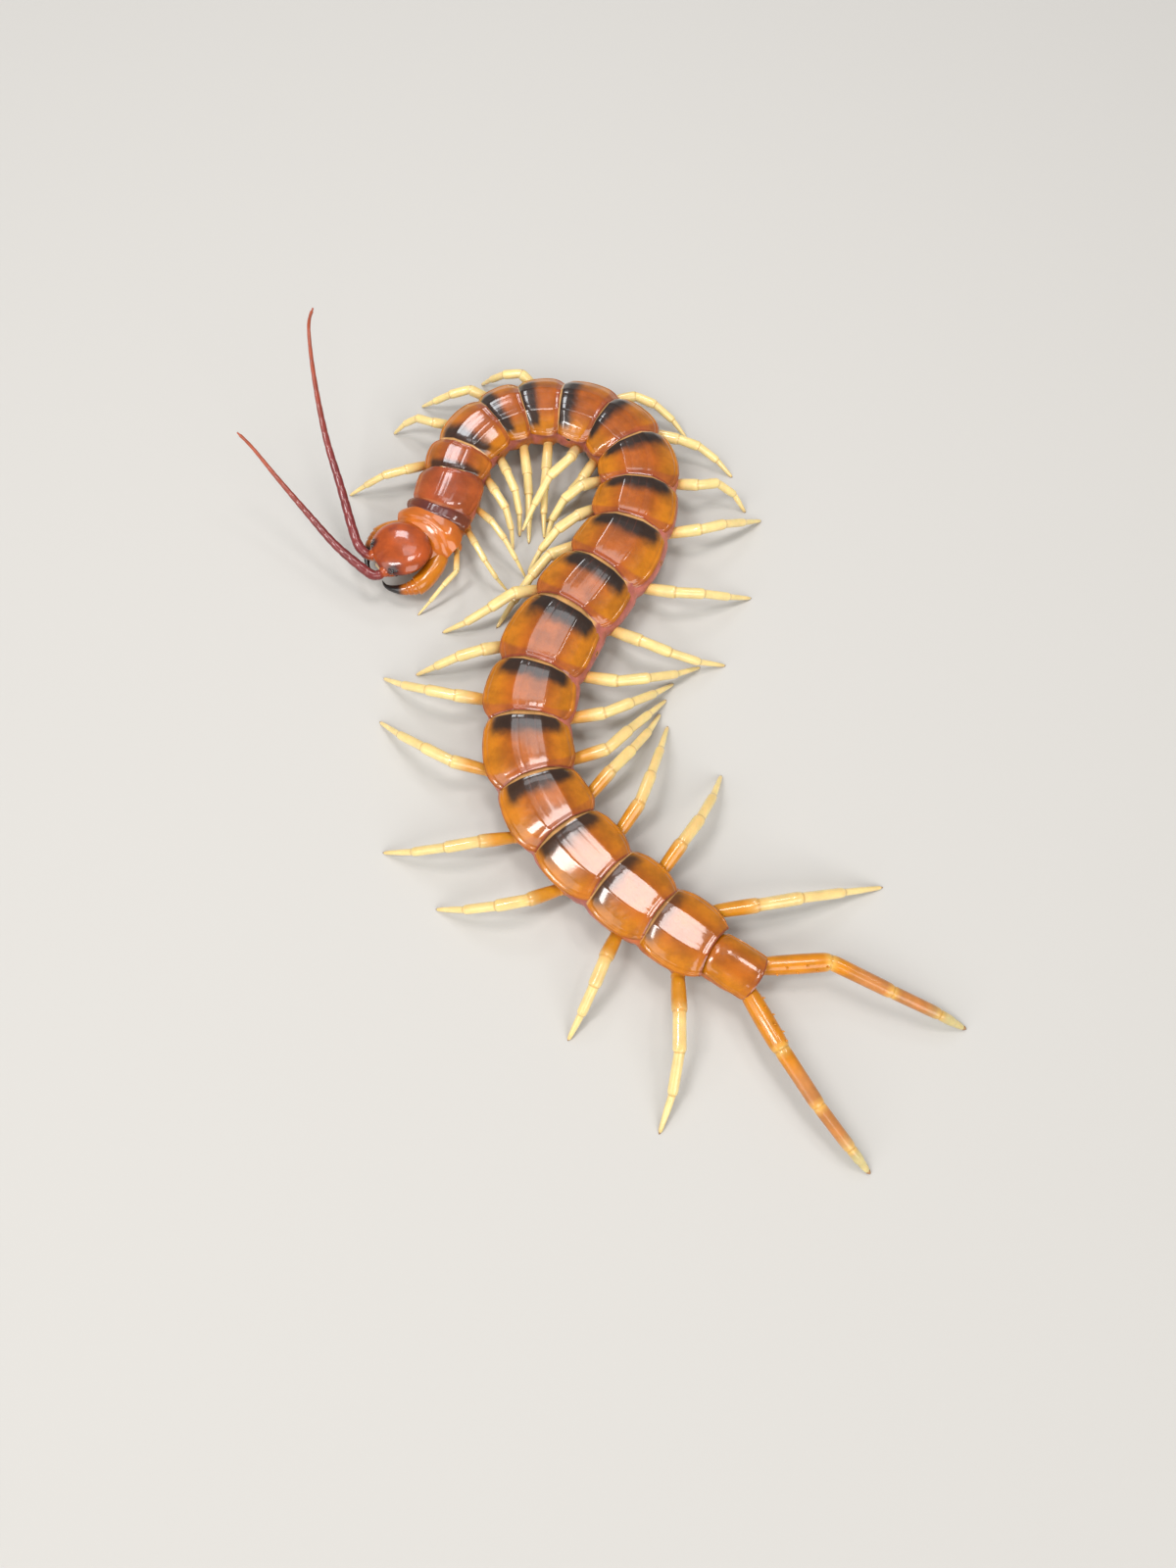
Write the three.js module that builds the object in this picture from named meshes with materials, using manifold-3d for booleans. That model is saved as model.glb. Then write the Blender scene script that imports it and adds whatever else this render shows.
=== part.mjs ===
// Giant centipede at life size: a still model that stands on the tips of its legs, in millimetres, +Z up.
// The trunk is laid out along a midline that runs from the neck to the tail. Each of the 21 leg-bearing
// segments is one arc of it, and every other piece is placed from the segment that carries it.
import * as THREE from 'three';
import { mergeVertices } from 'three/addons/utils/BufferGeometryUtils.js';
import Module from 'manifold-3d';

const wasm = await Module();
wasm.setup();

// Driving sizes

const gap = 0.3; // between neighbouring nodes
const neck = { x: -36.6, y: 124.4, heading: 50 }; // front of the first tergite; heading runs towards the tail
const headPlace = { x: -38.9, y: 122.3, heading: 38 }; // middle of the head plate
const originShift = { x: 0.97, y: -91.62 }; // brings the middle of the floor area to the origin
const belly = 2.2; // height of the underside
const coreShare = 0.8; // flank to tergite width

// Length along the back, greatest width, crown height and turn of the midline in degrees, from the neck on
const segments = [
  { length: 6.9, width: 14.0, crown: 9.3, turn: 19 },
  { length: 1.8, width: 13.4, crown: 9.4, turn: 4 },
  { length: 8.4, width: 13.2, crown: 9.7, turn: 9 },
  { length: 6.1, width: 13.2, crown: 9.8, turn: -11 },
  { length: 9.3, width: 13.4, crown: 10.0, turn: -30 },
  { length: 6.6, width: 13.8, crown: 10.1, turn: -22 },
  { length: 7.6, width: 14.2, crown: 10.2, turn: -21 },
  { length: 9.0, width: 14.8, crown: 10.4, turn: -26 },
  { length: 8.1, width: 15.4, crown: 10.4, turn: -31 },
  { length: 9.7, width: 16.0, crown: 10.5, turn: -33 },
  { length: 9.5, width: 16.4, crown: 10.5, turn: -12 },
  { length: 11.6, width: 17.0, crown: 10.6, turn: -19 },
  { length: 10.9, width: 17.2, crown: 10.6, turn: 4 },
  { length: 13.6, width: 17.0, crown: 10.6, turn: 15 },
  { length: 10.4, width: 16.8, crown: 10.5, turn: 15 },
  { length: 11.7, width: 16.4, crown: 10.4, turn: 21 },
  { length: 11.0, width: 16.0, crown: 10.2, turn: 19 },
  { length: 11.6, width: 15.4, crown: 10.0, turn: 12 },
  { length: 10.7, width: 14.8, crown: 9.7, turn: 4 },
  { length: 11.0, width: 13.8, crown: 9.3, turn: 4 },
  { length: 8.1, width: 11.4, crown: 8.8, turn: 2 }
];

// Each body node takes one or two segments
const trunkNodes = [[1], [2, 3], [4, 5], [6, 7], [8, 9], [10, 11], [12, 13], [14, 15], [16, 17], [18, 19], [20], [21]];

// Pose of each leg, from the first pair to the last. Swing is the way the leg leaves the body, in degrees
// behind straight out. Knee and curl are the further turns, seen from above. Reach is the length in
// millimetres, lift raises or lowers the joints, and foot is the height of a tip that rests on another leg.
// Place is the share of its segment at which the leg stands.
// A tucked leg folds low against the body and under it.
const leftLegs = [
  { swing: -60, knee: -41, curl: -7, reach: 17.4, lift: -1.5, place: 0.64 },
  { swing: -50, knee: 13, curl: 14, reach: 17.6, lift: 0, place: 0.7 },
  { swing: -42, knee: 6, curl: 0, reach: 19.4, lift: 0, place: 0.5 },
  { swing: -54, knee: 15, curl: -14, reach: 18, lift: 0, place: 0.52 },
  { swing: -37, knee: 10, curl: -12, reach: 19, lift: 0, place: 0.52 },
  { swing: -16, knee: -3, curl: -2, reach: 20.8, lift: -3.6, place: 0.65 },
  { swing: -4, knee: -1, curl: 3, reach: 20.4, lift: -3, place: 0.68 },
  { swing: 14, knee: -40, curl: 14, reach: 26, lift: 2.5, foot: 3.4, place: 0.7 },
  { swing: 26, knee: -12, curl: -6, reach: 16, lift: -2.5, place: 0.66 },
  { swing: 32, knee: -1, curl: 15, reach: 19.4, lift: 0, place: 0.62 },
  { swing: 58, knee: -12, curl: 9, reach: 21, lift: 0, place: 0.55 },
  { swing: 60, knee: 21, curl: 1, reach: 24.5, lift: -2, place: 0.58 },
  { swing: 60, knee: 6, curl: -13, reach: 23, lift: 0, place: 0.8 },
  { swing: 52, knee: -18, curl: -4, reach: 20.6, lift: 0, place: 0.74 },
  { swing: 12, knee: -20, curl: -9, reach: 24, lift: 0, place: 0.63 },
  { swing: -19, knee: -23, curl: -6, reach: 26.4, lift: 0, place: 0.67 },
  { swing: -16, knee: -7, curl: -8, reach: 26, lift: 0, place: 0.66 },
  { swing: -19, knee: -17, curl: -9, reach: 24.5, lift: 0, place: 0.6 },
  { swing: 15, knee: 0, curl: -3, reach: 21.4, lift: 0, place: 0.67 },
  { swing: 34, knee: -1, curl: -9, reach: 27.7, lift: 0, place: 0.76 }
];
const rightLegs = [
  { swing: -30, knee: -127, curl: -4, reach: 12.5, lift: 0, place: 0.62, tucked: true },
  { swing: -76, knee: -78, curl: -4, reach: 12.5, lift: 0, place: 0.82, tucked: true },
  { swing: -78, knee: -80, curl: 0, reach: 14, lift: 0, place: 0.6, tucked: true },
  { swing: -57, knee: 31, curl: 2, reach: 20.5, lift: 0, place: 0.52 },
  { swing: -58, knee: 48, curl: -16, reach: 17.3, lift: 0, place: 0.56 },
  { swing: -60, knee: -12, curl: 15, reach: 18.9, lift: 0, place: 0.52 },
  { swing: -58, knee: -20, curl: 12, reach: 17, lift: 0, place: 0.52 },
  { swing: 58, knee: 27, curl: 11, reach: 20.1, lift: -2, place: 0.76 },
  { swing: 58, knee: -8, curl: 10, reach: 19.5, lift: -2, place: 0.78 },
  { swing: 27, knee: -43, curl: 28, reach: 19, lift: 0, place: 0.78 },
  { swing: -10, knee: -28, curl: -5, reach: 23.3, lift: 0, place: 0.8 },
  { swing: -12, knee: -25, curl: -7, reach: 24.5, lift: 0, place: 0.8 },
  { swing: 0, knee: -15, curl: -14, reach: 25.7, lift: 0, place: 0.8 },
  { swing: -2, knee: -31, curl: -10, reach: 26.4, lift: 0, place: 0.8 },
  { swing: -6, knee: -28, curl: -7, reach: 24.8, lift: 0, place: 0.8 },
  { swing: 3, knee: -37, curl: -2, reach: 25.9, lift: 0, place: 0.74 },
  { swing: -16, knee: -2, curl: -7, reach: 25.5, lift: 0, place: 0.67 },
  { swing: -10, knee: -15, curl: -2, reach: 27.4, lift: 0, place: 0.6 },
  { swing: -1, knee: -2, curl: -7, reach: 25.8, lift: 0, place: 0.6 },
  { swing: 54, knee: -10, curl: -1, reach: 34, lift: 0, place: 0.62 }
];
const terminalLegs = {
  left: { swing: 58, knee: 5, curl: 6, reach: 36.7, lift: 0 },
  right: { swing: 56, knee: 29, curl: -3, reach: 39.3, lift: 0 }
};

// Walking leg: the first part's share of the reach at both ends of the body, and joint heights
const prefemurShare = [0.32, 0.25];
const outerShares = [0.31, 0.345, 0.345]; // of the rest
const legHeights = [4.2, 7.0, 6.0, 3.2, 0];
const tuckedHeights = [4.2, 1.3, 1.1, 1.2, 0];
const socketEnd = 0.46; // of the width, from the midline
const socketDepth = 0.26;
const terminalHeights = [5.2, 6.0, 5.2, 3.4, 0];
const terminalShares = [0.31, 0.29, 0.23, 0.17];
const legSides = 6;
const terminalThickness = 3.6;
// Spines of a last leg: share of its first part, how far inward and how far up they point
const terminalSpines = [[0.25, 1, 0.3], [0.4, 0.6, 1], [0.58, 1, 0.4], [0.72, 0.5, 1], [0.9, 1, 0.7]];
const footRadius = 0.28;
const spinePoint = 0.08; // radius of a spine's end

// Antennae: points in the head's own frame, forward, left and up from the floor
const antennae = {
  right: { tip: 0.3, route: [[5.7, -2.0, 7.0], [6.4, -4.7, 7.8], [5.6, -8.4, 8.9], [3.4, -15.6, 11.6], [0.9, -24.3, 15.6], [-2.7, -33.0, 21.2], [-6.1, -39.0, 26.6], [-7.7, -38.6, 31.0]] },
  left: { tip: 0.3, route: [[5.6, 2.2, 6.7], [7.3, 1.6, 6.9], [8.5, -1.0, 7.7], [10.3, -6.7, 9.3], [11.6, -14.0, 11.6], [13.0, -21.8, 14.7], [14.1, -28.0, 17.7], [15.2, -30.7, 20.0]] }
};
const antennaBase = 1.0;
const articles = 17;

// The shield under the head that carries the forcipules: half its outline, forward and left, and its teeth
const shieldOutline = [[-8, 3.6], [-6.8, 4.6], [-5.4, 4.9], [-4.7, 4.7], [-3.6, 2.9], [0.6, 2.6], [2.2, 2.2], [2.5, 0.3]];
const shieldLevels = [[2.6, 0.88], [3.0, 1], [3.7, 1], [4.1, 0.9]]; // height and share of the outline
const shieldTeeth = [0.6, 1.05, 1.5, 1.95]; // across, on each side

// The forcipules, the right one held further forward: middle line, forward, left and up, and radii
const clawRoutes = {
  left: [[-3.3, 5.3, 4.1], [-2.6, 5.9, 4.1], [-1.4, 6.5, 4.1], [0, 6.8, 4.05], [1.3, 6.7, 4.0],
    [2.8, 6.2, 3.9], [4.3, 5.2, 3.6], [5.4, 3.9, 3.3], [5.9, 2.5, 3.0], [5.6, 1.2, 2.9]],
  right: [[-3.1, -5.3, 4.1], [-2.2, -6.1, 4.1], [-0.8, -6.8, 4.1], [0.8, -7.0, 4.05], [2.2, -6.8, 4.0],
    [3.7, -6.1, 3.9], [5.1, -4.9, 3.6], [6.0, -3.5, 3.3], [6.4, -2.1, 3.0], [6.0, -0.9, 2.9]]
};
const clawRadii = [1.2, 1.7, 1.9, 1.9, 1.6, 1.2, 0.92, 0.64, 0.4, 0.15];

// Simple eyes on each side of the head plate, forward, left, up and radius
const eyes = [[3.75, 3.85, 8.05, 0.42], [4.4, 3.15, 8.0, 0.42], [3.05, 4.5, 7.95, 0.38], [3.9, 4.45, 7.75, 0.32]];

// Colours
const paint = {
  head: 0xb5431c,
  plate: 0xa94a1c,
  rear: 0xb4601c,
  leg: 0xe0bd6a,
  terminal: 0xd07a2a,
  antenna: 0x7d2a22,
  claw: 0xc06a1e
};

// Solids and meshes

const model = new THREE.Group();
const toRad = THREE.MathUtils.degToRad;

// The head has a frame of its own: forward along +X, left along +Y, heights from the floor
const headTurn = new THREE.Matrix4().makeRotationZ(toRad(headPlace.heading + 180));
headTurn.setPosition(headPlace.x, headPlace.y, 0);

function addNode(name, geometry, colour) {
  const material = new THREE.MeshStandardMaterial({ color: colour, roughness: 0.3, metalness: 0 });
  const mesh = new THREE.Mesh(geometry, material);
  mesh.name = name;
  model.add(mesh);
}

function meshFrom(positions, triangles) {
  const geometry = new THREE.BufferGeometry();
  geometry.setAttribute('position', new THREE.Float32BufferAttribute(positions, 3));
  geometry.setIndex(triangles);
  geometry.computeVertexNormals();
  return geometry;
}

// Skins a row of rings that have the same number of points, and closes both ends with flat fans
function loft(rings) {
  const count = rings[0].length;
  const points = rings.flat();
  const triangles = [];
  for (let ring = 0; ring + 1 < rings.length; ring += 1) {
    for (let i = 0; i < count; i += 1) {
      const a = ring * count + i;
      const b = ring * count + (i + 1) % count;
      triangles.push(a, b, b + count, a, b + count, a + count);
    }
  }
  for (const ring of [0, rings.length - 1]) {
    const centre = new THREE.Vector3();
    rings[ring].forEach((point) => centre.addScaledVector(point, 1 / count));
    const hub = points.push(centre) - 1;
    for (let i = 0; i < count; i += 1) {
      const a = ring * count + i;
      const b = ring * count + (i + 1) % count;
      triangles.push(...(ring === 0 ? [hub, b, a] : [hub, a, b]));
    }
  }
  let volume = 0;
  for (let t = 0; t < triangles.length; t += 3) {
    const [a, b, c] = triangles.slice(t, t + 3).map((i) => points[i]);
    volume += a.dot(new THREE.Vector3().crossVectors(b, c));
  }
  if (volume < 0) triangles.reverse();
  return meshFrom(points.flatMap((point) => point.toArray()), triangles);
}

function solidOf(geometry) {
  const bare = geometry.clone();
  bare.deleteAttribute('normal');
  bare.deleteAttribute('uv');
  const merged = mergeVertices(bare, 1e-4);
  return new wasm.Manifold(new wasm.Mesh({
    numProp: 3,
    vertProperties: new Float32Array(merged.attributes.position.array),
    triVerts: new Uint32Array(merged.index.array)
  }));
}

// Joins pieces into one closed body and keeps its largest closed surface
function fuse(geometries) {
  let whole = solidOf(geometries[0]);
  for (const geometry of geometries.slice(1)) whole = whole.add(solidOf(geometry));
  const parts = whole.decompose();
  parts.sort((a, b) => b.volume() - a.volume());
  const mesh = parts[0].getMesh();
  const positions = [];
  for (let i = 0; i < mesh.vertProperties.length; i += mesh.numProp) {
    positions.push(mesh.vertProperties[i], mesh.vertProperties[i + 1], mesh.vertProperties[i + 2]);
  }
  return meshFrom(positions, Array.from(mesh.triVerts));
}

// A round ring of points about a centre, square to a direction
function roundRing(centre, direction, radius, sides, flatness = 1) {
  const across = new THREE.Vector3(direction.y, -direction.x, 0).normalize();
  const over = new THREE.Vector3().crossVectors(across, direction).normalize();
  const ring = [];
  for (let i = 0; i < sides; i += 1) {
    const turn = 2 * Math.PI * (i + 0.5) / sides;
    ring.push(centre.clone()
      .addScaledVector(across, radius * Math.cos(turn))
      .addScaledVector(over, radius * flatness * Math.sin(turn)));
  }
  return ring;
}

function ball(x, y, z, rx, ry, rz, around = 16, down = 10) {
  const geometry = new THREE.SphereGeometry(1, around, down);
  geometry.rotateX(Math.PI / 2);
  return geometry.scale(rx, ry, rz).translate(x, y, z);
}

function tube(points, radii, sides, flatness = 1) {
  const rings = points.map((point, i) => {
    const before = points[Math.max(i - 1, 0)];
    const after = points[Math.min(i + 1, points.length - 1)];
    return roundRing(point, after.clone().sub(before).normalize(), radii[i], sides, flatness);
  });
  return loft(rings);
}

// A small spine, from its sunk root to its point
function spine(root, point, radius) {
  return tube([root, point], [radius, spinePoint], 6);
}

// Trunk

const stations = [{ ...neck }];
for (const segment of segments) {
  stations.push(along(stations[stations.length - 1], segment.length, segment.turn));
}

function along(start, length, turn) {
  const half = toRad(turn / 2);
  const chord = Math.abs(half) > 1e-6 ? length * Math.sin(half) / half : length;
  const way = toRad(start.heading) + half;
  return { x: start.x + chord * Math.cos(way), y: start.y + chord * Math.sin(way), heading: start.heading + turn };
}

// The place at a distance along segment number k, counted from 1
function placeOn(k, distance) {
  const segment = segments[k - 1];
  return along(stations[k - 1], distance, segment.turn * distance / segment.length);
}

// A point forward, left and up from a place on the midline
function atPlace(place, forward, left, up) {
  const c = Math.cos(toRad(place.heading));
  const s = Math.sin(toRad(place.heading));
  return new THREE.Vector3(place.x - forward * c + left * s, place.y - forward * s - left * c, up);
}

// Half outline of a section, from the crown down to the belly: across and up as shares
const plateOutline = [[0, 1], [0.42, 0.985], [0.8, 0.84], [1, 0.6], [0.95, 0.53]];
const flankOutline = [[1, 0.42], [0.98, 0.22], [0.7, 0.02], [0, 0]];

function trunkRing(place, width, crown, spread, rise, core) {
  const half = width / 2;
  const right = [];
  const height = crown - belly;
  plateOutline.forEach(([a, u]) => {
    const drop = (1 - rise) * Math.max(0, 2 * u - 1);
    right.push([a * half * spread, belly + (u - drop) * height]);
  });
  flankOutline.forEach(([a, u]) => right.push([a * half * coreShare * core, belly + u * height]));
  const left = right.slice(1, -1).reverse().map(([a, z]) => [-a, z]);
  return [...right, ...left].map(([a, z]) => atPlace(place, 0, -a, z));
}

// Along a tergite: share of the length, spread of the plate, its height and the spread of the flanks
const tergiteProfile = [
  [0, 0.86, 0.92, 1], [0.05, 0.89, 0.95, 1], [0.25, 0.98, 0.985, 1], [0.6, 1, 1, 1], [0.86, 0.97, 1, 1], [1, 0.89, 0.985, 1]
];

// The first one starts low, under the head plate, and steps up behind a curved furrow
const firstProfile = [
  [0, 0.6, 0.64, 0.5], [0.3, 0.76, 0.67, 0.58], [0.42, 0.86, 0.9, 0.68], [0.52, 0.97, 0.98, 0.86], [0.75, 1, 1, 1], [1, 0.93, 0.99, 1]
];
// The last one narrows towards the terminal legs
const lastProfile = [
  [0, 0.92, 0.93, 1], [0.06, 0.96, 0.96, 1], [0.3, 1, 1, 0.98], [0.6, 0.95, 1, 0.95], [0.88, 0.83, 0.98, 0.92], [1, 0.76, 0.95, 0.88]
];

function profileOf(k) {
  if (k === 1) return firstProfile;
  return k === segments.length ? lastProfile : tergiteProfile;
}

function segmentRings(k) {
  const { length, width, crown } = segments[k - 1];
  const usable = length - gap;
  return profileOf(k).map(([share, ...shape]) => trunkRing(placeOn(k, gap / 2 + share * usable), width, crown, ...shape));
}

// The way a leg leaves the body, level, as a unit vector
function wayOut(place, side, swing) {
  const out = atPlace(place, 0, side, 0).sub(atPlace(place, 0, 0, 0));
  const back = atPlace(place, -1, 0, 0).sub(atPlace(place, 0, 0, 0));
  return out.multiplyScalar(Math.cos(toRad(swing))).addScaledVector(back, Math.sin(toRad(swing)));
}

// Where a walking leg's socket starts and ends
function socketOf(k, side, pose) {
  const { length, width } = segments[k - 1];
  const place = placeOn(k, length * pose.place);
  const way = wayOut(place, side, pose.swing * 0.5);
  way.z = pose.tucked ? -0.2 : 0.25;
  way.normalize();
  const end = atPlace(place, 0, side * width * socketEnd, legHeights[0]);
  const start = end.clone().addScaledVector(way, -socketDepth * width);
  return { start, end, way, radius: (k > 3 ? 0.095 : 0.08) * width, place };
}

function socketGeometry(k, side, pose) {
  const { start, end, way, radius } = socketOf(k, side, pose);
  return loft([
    roundRing(start, way, radius * 0.9, legSides),
    roundRing(end.clone().addScaledVector(way, -0.5), way, radius, legSides),
    roundRing(end, way, radius * 0.85, legSides)
  ]);
}

// The shield, with the two toothed plates at its front
function shieldGeometries() {
  const half = shieldOutline.map(([x, y]) => new THREE.Vector3(x, y, 0));
  const outline = [...half, ...half.toReversed().map((point) => new THREE.Vector3(point.x, -point.y, 0))];
  const middle = new THREE.Vector3(-2.5, 0, 0);
  const rings = shieldLevels.map(([z, share]) => outline.map((point) => middle.clone().lerp(point, share).setZ(z)));
  const teeth = shieldTeeth.flatMap((y) => [y, -y].map((across) => spine(
    new THREE.Vector3(1.8, across, 3.4),
    new THREE.Vector3(3.1, across * 1.05, 3.3),
    0.3
  )));
  return [loft(rings), ...teeth].map((geometry) => geometry.applyMatrix4(headTurn));
}

// The last segment's two processes, pointing back under the last legs
function tailGeometries() {
  const last = segments[segments.length - 1];
  const place = placeOn(segments.length, last.length);
  return [1, -1].map((side) => spine(atPlace(place, 1.5, side * 3.6, 3.1), atPlace(place, -1.6, side * 3.9, 2.9), 0.55));
}

for (const numbers of trunkNodes) {
  const pieces = [loft(numbers.flatMap(segmentRings))];
  if (numbers.includes(1)) pieces.push(...shieldGeometries());
  if (numbers.includes(segments.length)) pieces.push(...tailGeometries());
  for (const k of numbers) {
    if (k <= leftLegs.length) {
      pieces.push(socketGeometry(k, 1, leftLegs[k - 1]));
      pieces.push(socketGeometry(k, -1, rightLegs[k - 1]));
    }
  }
  const name = `trunk_${numbers.map((k) => String(k).padStart(2, '0')).join('_')}`;
  addNode(name, fuse(pieces), numbers[0] > 17 ? paint.rear : paint.plate);
}

// Legs

// Along a leg: part number, share of that part's length, thickness as a share of the leg's own
const legProfile = [
  [0, 0, 0.8], [0, 0.22, 1], [0, 0.85, 1.02], [1, 0, 0.84], [1, 0.25, 0.86], [1, 0.85, 0.84],
  [2, 0, 0.7], [2, 0.3, 0.72], [2, 0.85, 0.68], [3, 0, 0.54], [3, 0.4, 0.5], [3, 0.75, 0.36]
];

// How much of a leg's lift each joint takes
const liftShares = [1, 0.8, 0.4];

function legJoints(start, place, side, pose, shares, heights) {
  const turns = [pose.swing, pose.knee, pose.curl, pose.curl];
  const joints = [start];
  let swing = 0;
  shares.forEach((share, i) => {
    swing += turns[i];
    const last = joints[joints.length - 1];
    const level = i < 3 ? Math.max(0, heights[i + 1] + pose.lift * liftShares[i]) : pose.foot ?? 0;
    const drop = level - last.z;
    const length = share * pose.reach;
    const run = Math.sqrt(Math.max(length * length - drop * drop, 1));
    const joint = last.clone().addScaledVector(wayOut(place, side, swing), run);
    joint.z = level;
    joints.push(joint);
  });
  return joints;
}

function legGeometry(joints, way, thickness, sides) {
  const rings = [];
  const directions = joints.slice(1).map((joint, i) => joint.clone().sub(joints[i]).normalize());
  for (const [part, share, factor] of legProfile) {
    const centre = joints[part].clone().lerp(joints[part + 1], share);
    const direction = directions[part].clone();
    if (share === 0) direction.add(part > 0 ? directions[part - 1] : way).normalize();
    if (share === 0 && part === 0) direction.copy(way);
    rings.push(roundRing(centre, direction, thickness / 2 * factor, sides));
  }
  const tip = joints[joints.length - 1];
  rings.push(footRing(tip, directions[directions.length - 1], sides));
  return loft(rings);
}

// The foot ends in a small flat on the floor
function footRing(tip, direction, sides) {
  const across = new THREE.Vector3(direction.y, -direction.x, 0).normalize();
  const ahead = new THREE.Vector3(direction.x, direction.y, 0).normalize();
  const ring = [];
  for (let i = 0; i < sides; i += 1) {
    const turn = 2 * Math.PI * (i + 0.5) / sides;
    ring.push(tip.clone()
      .addScaledVector(across, footRadius * Math.cos(turn))
      .addScaledVector(ahead, footRadius * Math.sin(turn)));
  }
  return ring;
}

for (const [name, side, poses] of [['left', 1, leftLegs], ['right', -1, rightLegs]]) {
  poses.forEach((pose, i) => {
    const socket = socketOf(i + 1, side, pose);
    const start = socket.end.clone().addScaledVector(socket.way, gap);
    const first = THREE.MathUtils.lerp(...prefemurShare, i / (poses.length - 1));
    const shares = [first, ...outerShares.map((share) => share * (1 - first))];
    const joints = legJoints(start, socket.place, side, pose, shares, pose.tucked ? tuckedHeights : legHeights);
    const thickness = (i < 3 ? 1.35 : 1.6) * socket.radius;
    addNode(`leg_${name}_${String(i + 1).padStart(2, '0')}`, legGeometry(joints, socket.way, thickness, legSides), paint.leg);
  });
}

// Short spines on the inner upper side of a last leg's first part
function legSpines(joints, side) {
  const along = joints[1].clone().sub(joints[0]);
  const inward = new THREE.Vector3(along.y, -along.x, 0).normalize().multiplyScalar(-side);
  return terminalSpines.map(([share, inner, over]) => {
    const out = inward.clone().multiplyScalar(inner).setZ(over).normalize();
    const root = joints[0].clone().addScaledVector(along, share).addScaledVector(out, terminalThickness * 0.36);
    const point = root.clone().addScaledVector(out, 1.15).addScaledVector(along, 0.06);
    return spine(root, point, 0.32);
  });
}

for (const [name, side] of [['left', 1], ['right', -1]]) {
  const pose = terminalLegs[name];
  const last = segments[segments.length - 1];
  const place = placeOn(segments.length, last.length + gap / 2);
  const start = atPlace(place, 0, side * 2.3, terminalHeights[0]);
  const joints = legJoints(start, place, side, pose, terminalShares, terminalHeights);
  const leg = legGeometry(joints, wayOut(place, side, 90), terminalThickness, 8);
  addNode(`terminal_leg_${name}`, fuse([leg, ...legSpines(joints, side)]), paint.terminal);
}

// Head

const plateProfile = [[0, -0.4], [4.8, -0.5], [5.4, -0.45], [5.55, -0.1], [5.2, 0.3], [4, 0.85], [2.2, 1.28], [0, 1.4]];
const headPlate = new THREE.LatheGeometry(plateProfile.map(([r, z]) => new THREE.Vector2(r, z)), 20);
headPlate.rotateX(Math.PI / 2).scale(0.98, 1.04, 1).translate(0, 0, 8.3);

// Plate, capsule, upper lip with its front, eyes and the two feelers of the mouth
const headPieces = [
  headPlate,
  ball(1.0, 0, 6.3, 3.9, 4.3, 1.9),
  ball(3.7, 0, 6.5, 1.6, 2.6, 1.2, 12, 8),
  ball(4.6, 0, 5.5, 0.9, 1.5, 0.6, 10, 6)
];
for (const side of [1, -1]) {
  for (const [x, y, z, radius] of eyes) headPieces.push(ball(x, side * y, z, radius, radius, radius, 7, 5));
  const palp = [[1.8, 2.3, 5.3], [3.2, 2.4, 4.95], [4.5, 1.8, 4.85], [5.3, 0.8, 4.75]];
  headPieces.push(tube(palp.map(([x, y, z]) => new THREE.Vector3(x, side * y, z)), [0.6, 0.6, 0.5, 0.28], 6));
}
for (const { route } of Object.values(antennae)) {
  const curve = new THREE.CatmullRomCurve3(route.map(([x, y, z]) => new THREE.Vector3(x, y, z)));
  const way = curve.getTangentAt(0);
  const end = curve.getPointAt(0);
  const start = end.clone().addScaledVector(way, -2.4);
  headPieces.push(tube([start, end], [1.2, 1.15], 10));
}
addNode('head', fuse(headPieces).applyMatrix4(headTurn), paint.head);

for (const [name, side] of [['left', 1], ['right', -1]]) {
  const { route, tip } = antennae[name];
  const curve = new THREE.CatmullRomCurve3(route.map(([x, y, z]) => new THREE.Vector3(x, y, z)));
  const points = [];
  const radii = [];
  const start = gap / curve.getLength();
  for (let i = 0; i < articles; i += 1) {
    for (const share of [0.04, 0.7]) {
      const at = start + (1 - start) * (i + share) / articles;
      points.push(curve.getPointAt(at));
      radii.push((antennaBase + (tip - antennaBase) * at) * (share < 0.5 ? 0.86 : 1));
    }
  }
  points.push(curve.getPointAt(1));
  radii.push(tip * 0.6);
  addNode(`antenna_${name}`, tube(points, radii, 6).applyMatrix4(headTurn), paint.antenna);

  const clawPoints = clawRoutes[name].map(([x, y, z]) => new THREE.Vector3(x, y, z));
  addNode(`forcipule_${name}`, tube(clawPoints, clawRadii, 8).applyMatrix4(headTurn), paint.claw);
}

model.position.set(originShift.x, originShift.y, 0);

export default model;
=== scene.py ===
# Giant centipede at life size, standing on its leg tips. Sizes are in millimetres until meshes are made.
from math import cos, exp, pi, radians, sin

import bpy
import numpy as np
from mathutils import Matrix, Vector


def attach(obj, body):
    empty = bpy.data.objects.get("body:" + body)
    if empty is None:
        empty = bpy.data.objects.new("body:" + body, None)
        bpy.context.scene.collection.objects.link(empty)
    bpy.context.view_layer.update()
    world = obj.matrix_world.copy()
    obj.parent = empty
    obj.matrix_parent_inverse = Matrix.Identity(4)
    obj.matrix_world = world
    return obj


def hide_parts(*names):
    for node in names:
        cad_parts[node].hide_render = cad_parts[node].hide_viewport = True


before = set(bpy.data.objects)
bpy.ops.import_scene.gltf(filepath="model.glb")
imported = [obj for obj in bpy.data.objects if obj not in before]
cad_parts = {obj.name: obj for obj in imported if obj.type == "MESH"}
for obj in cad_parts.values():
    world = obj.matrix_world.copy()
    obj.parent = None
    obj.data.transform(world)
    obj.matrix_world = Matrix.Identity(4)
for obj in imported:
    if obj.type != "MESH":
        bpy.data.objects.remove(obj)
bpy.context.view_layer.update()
mm = 0.001
print("frame loaded")

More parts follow.
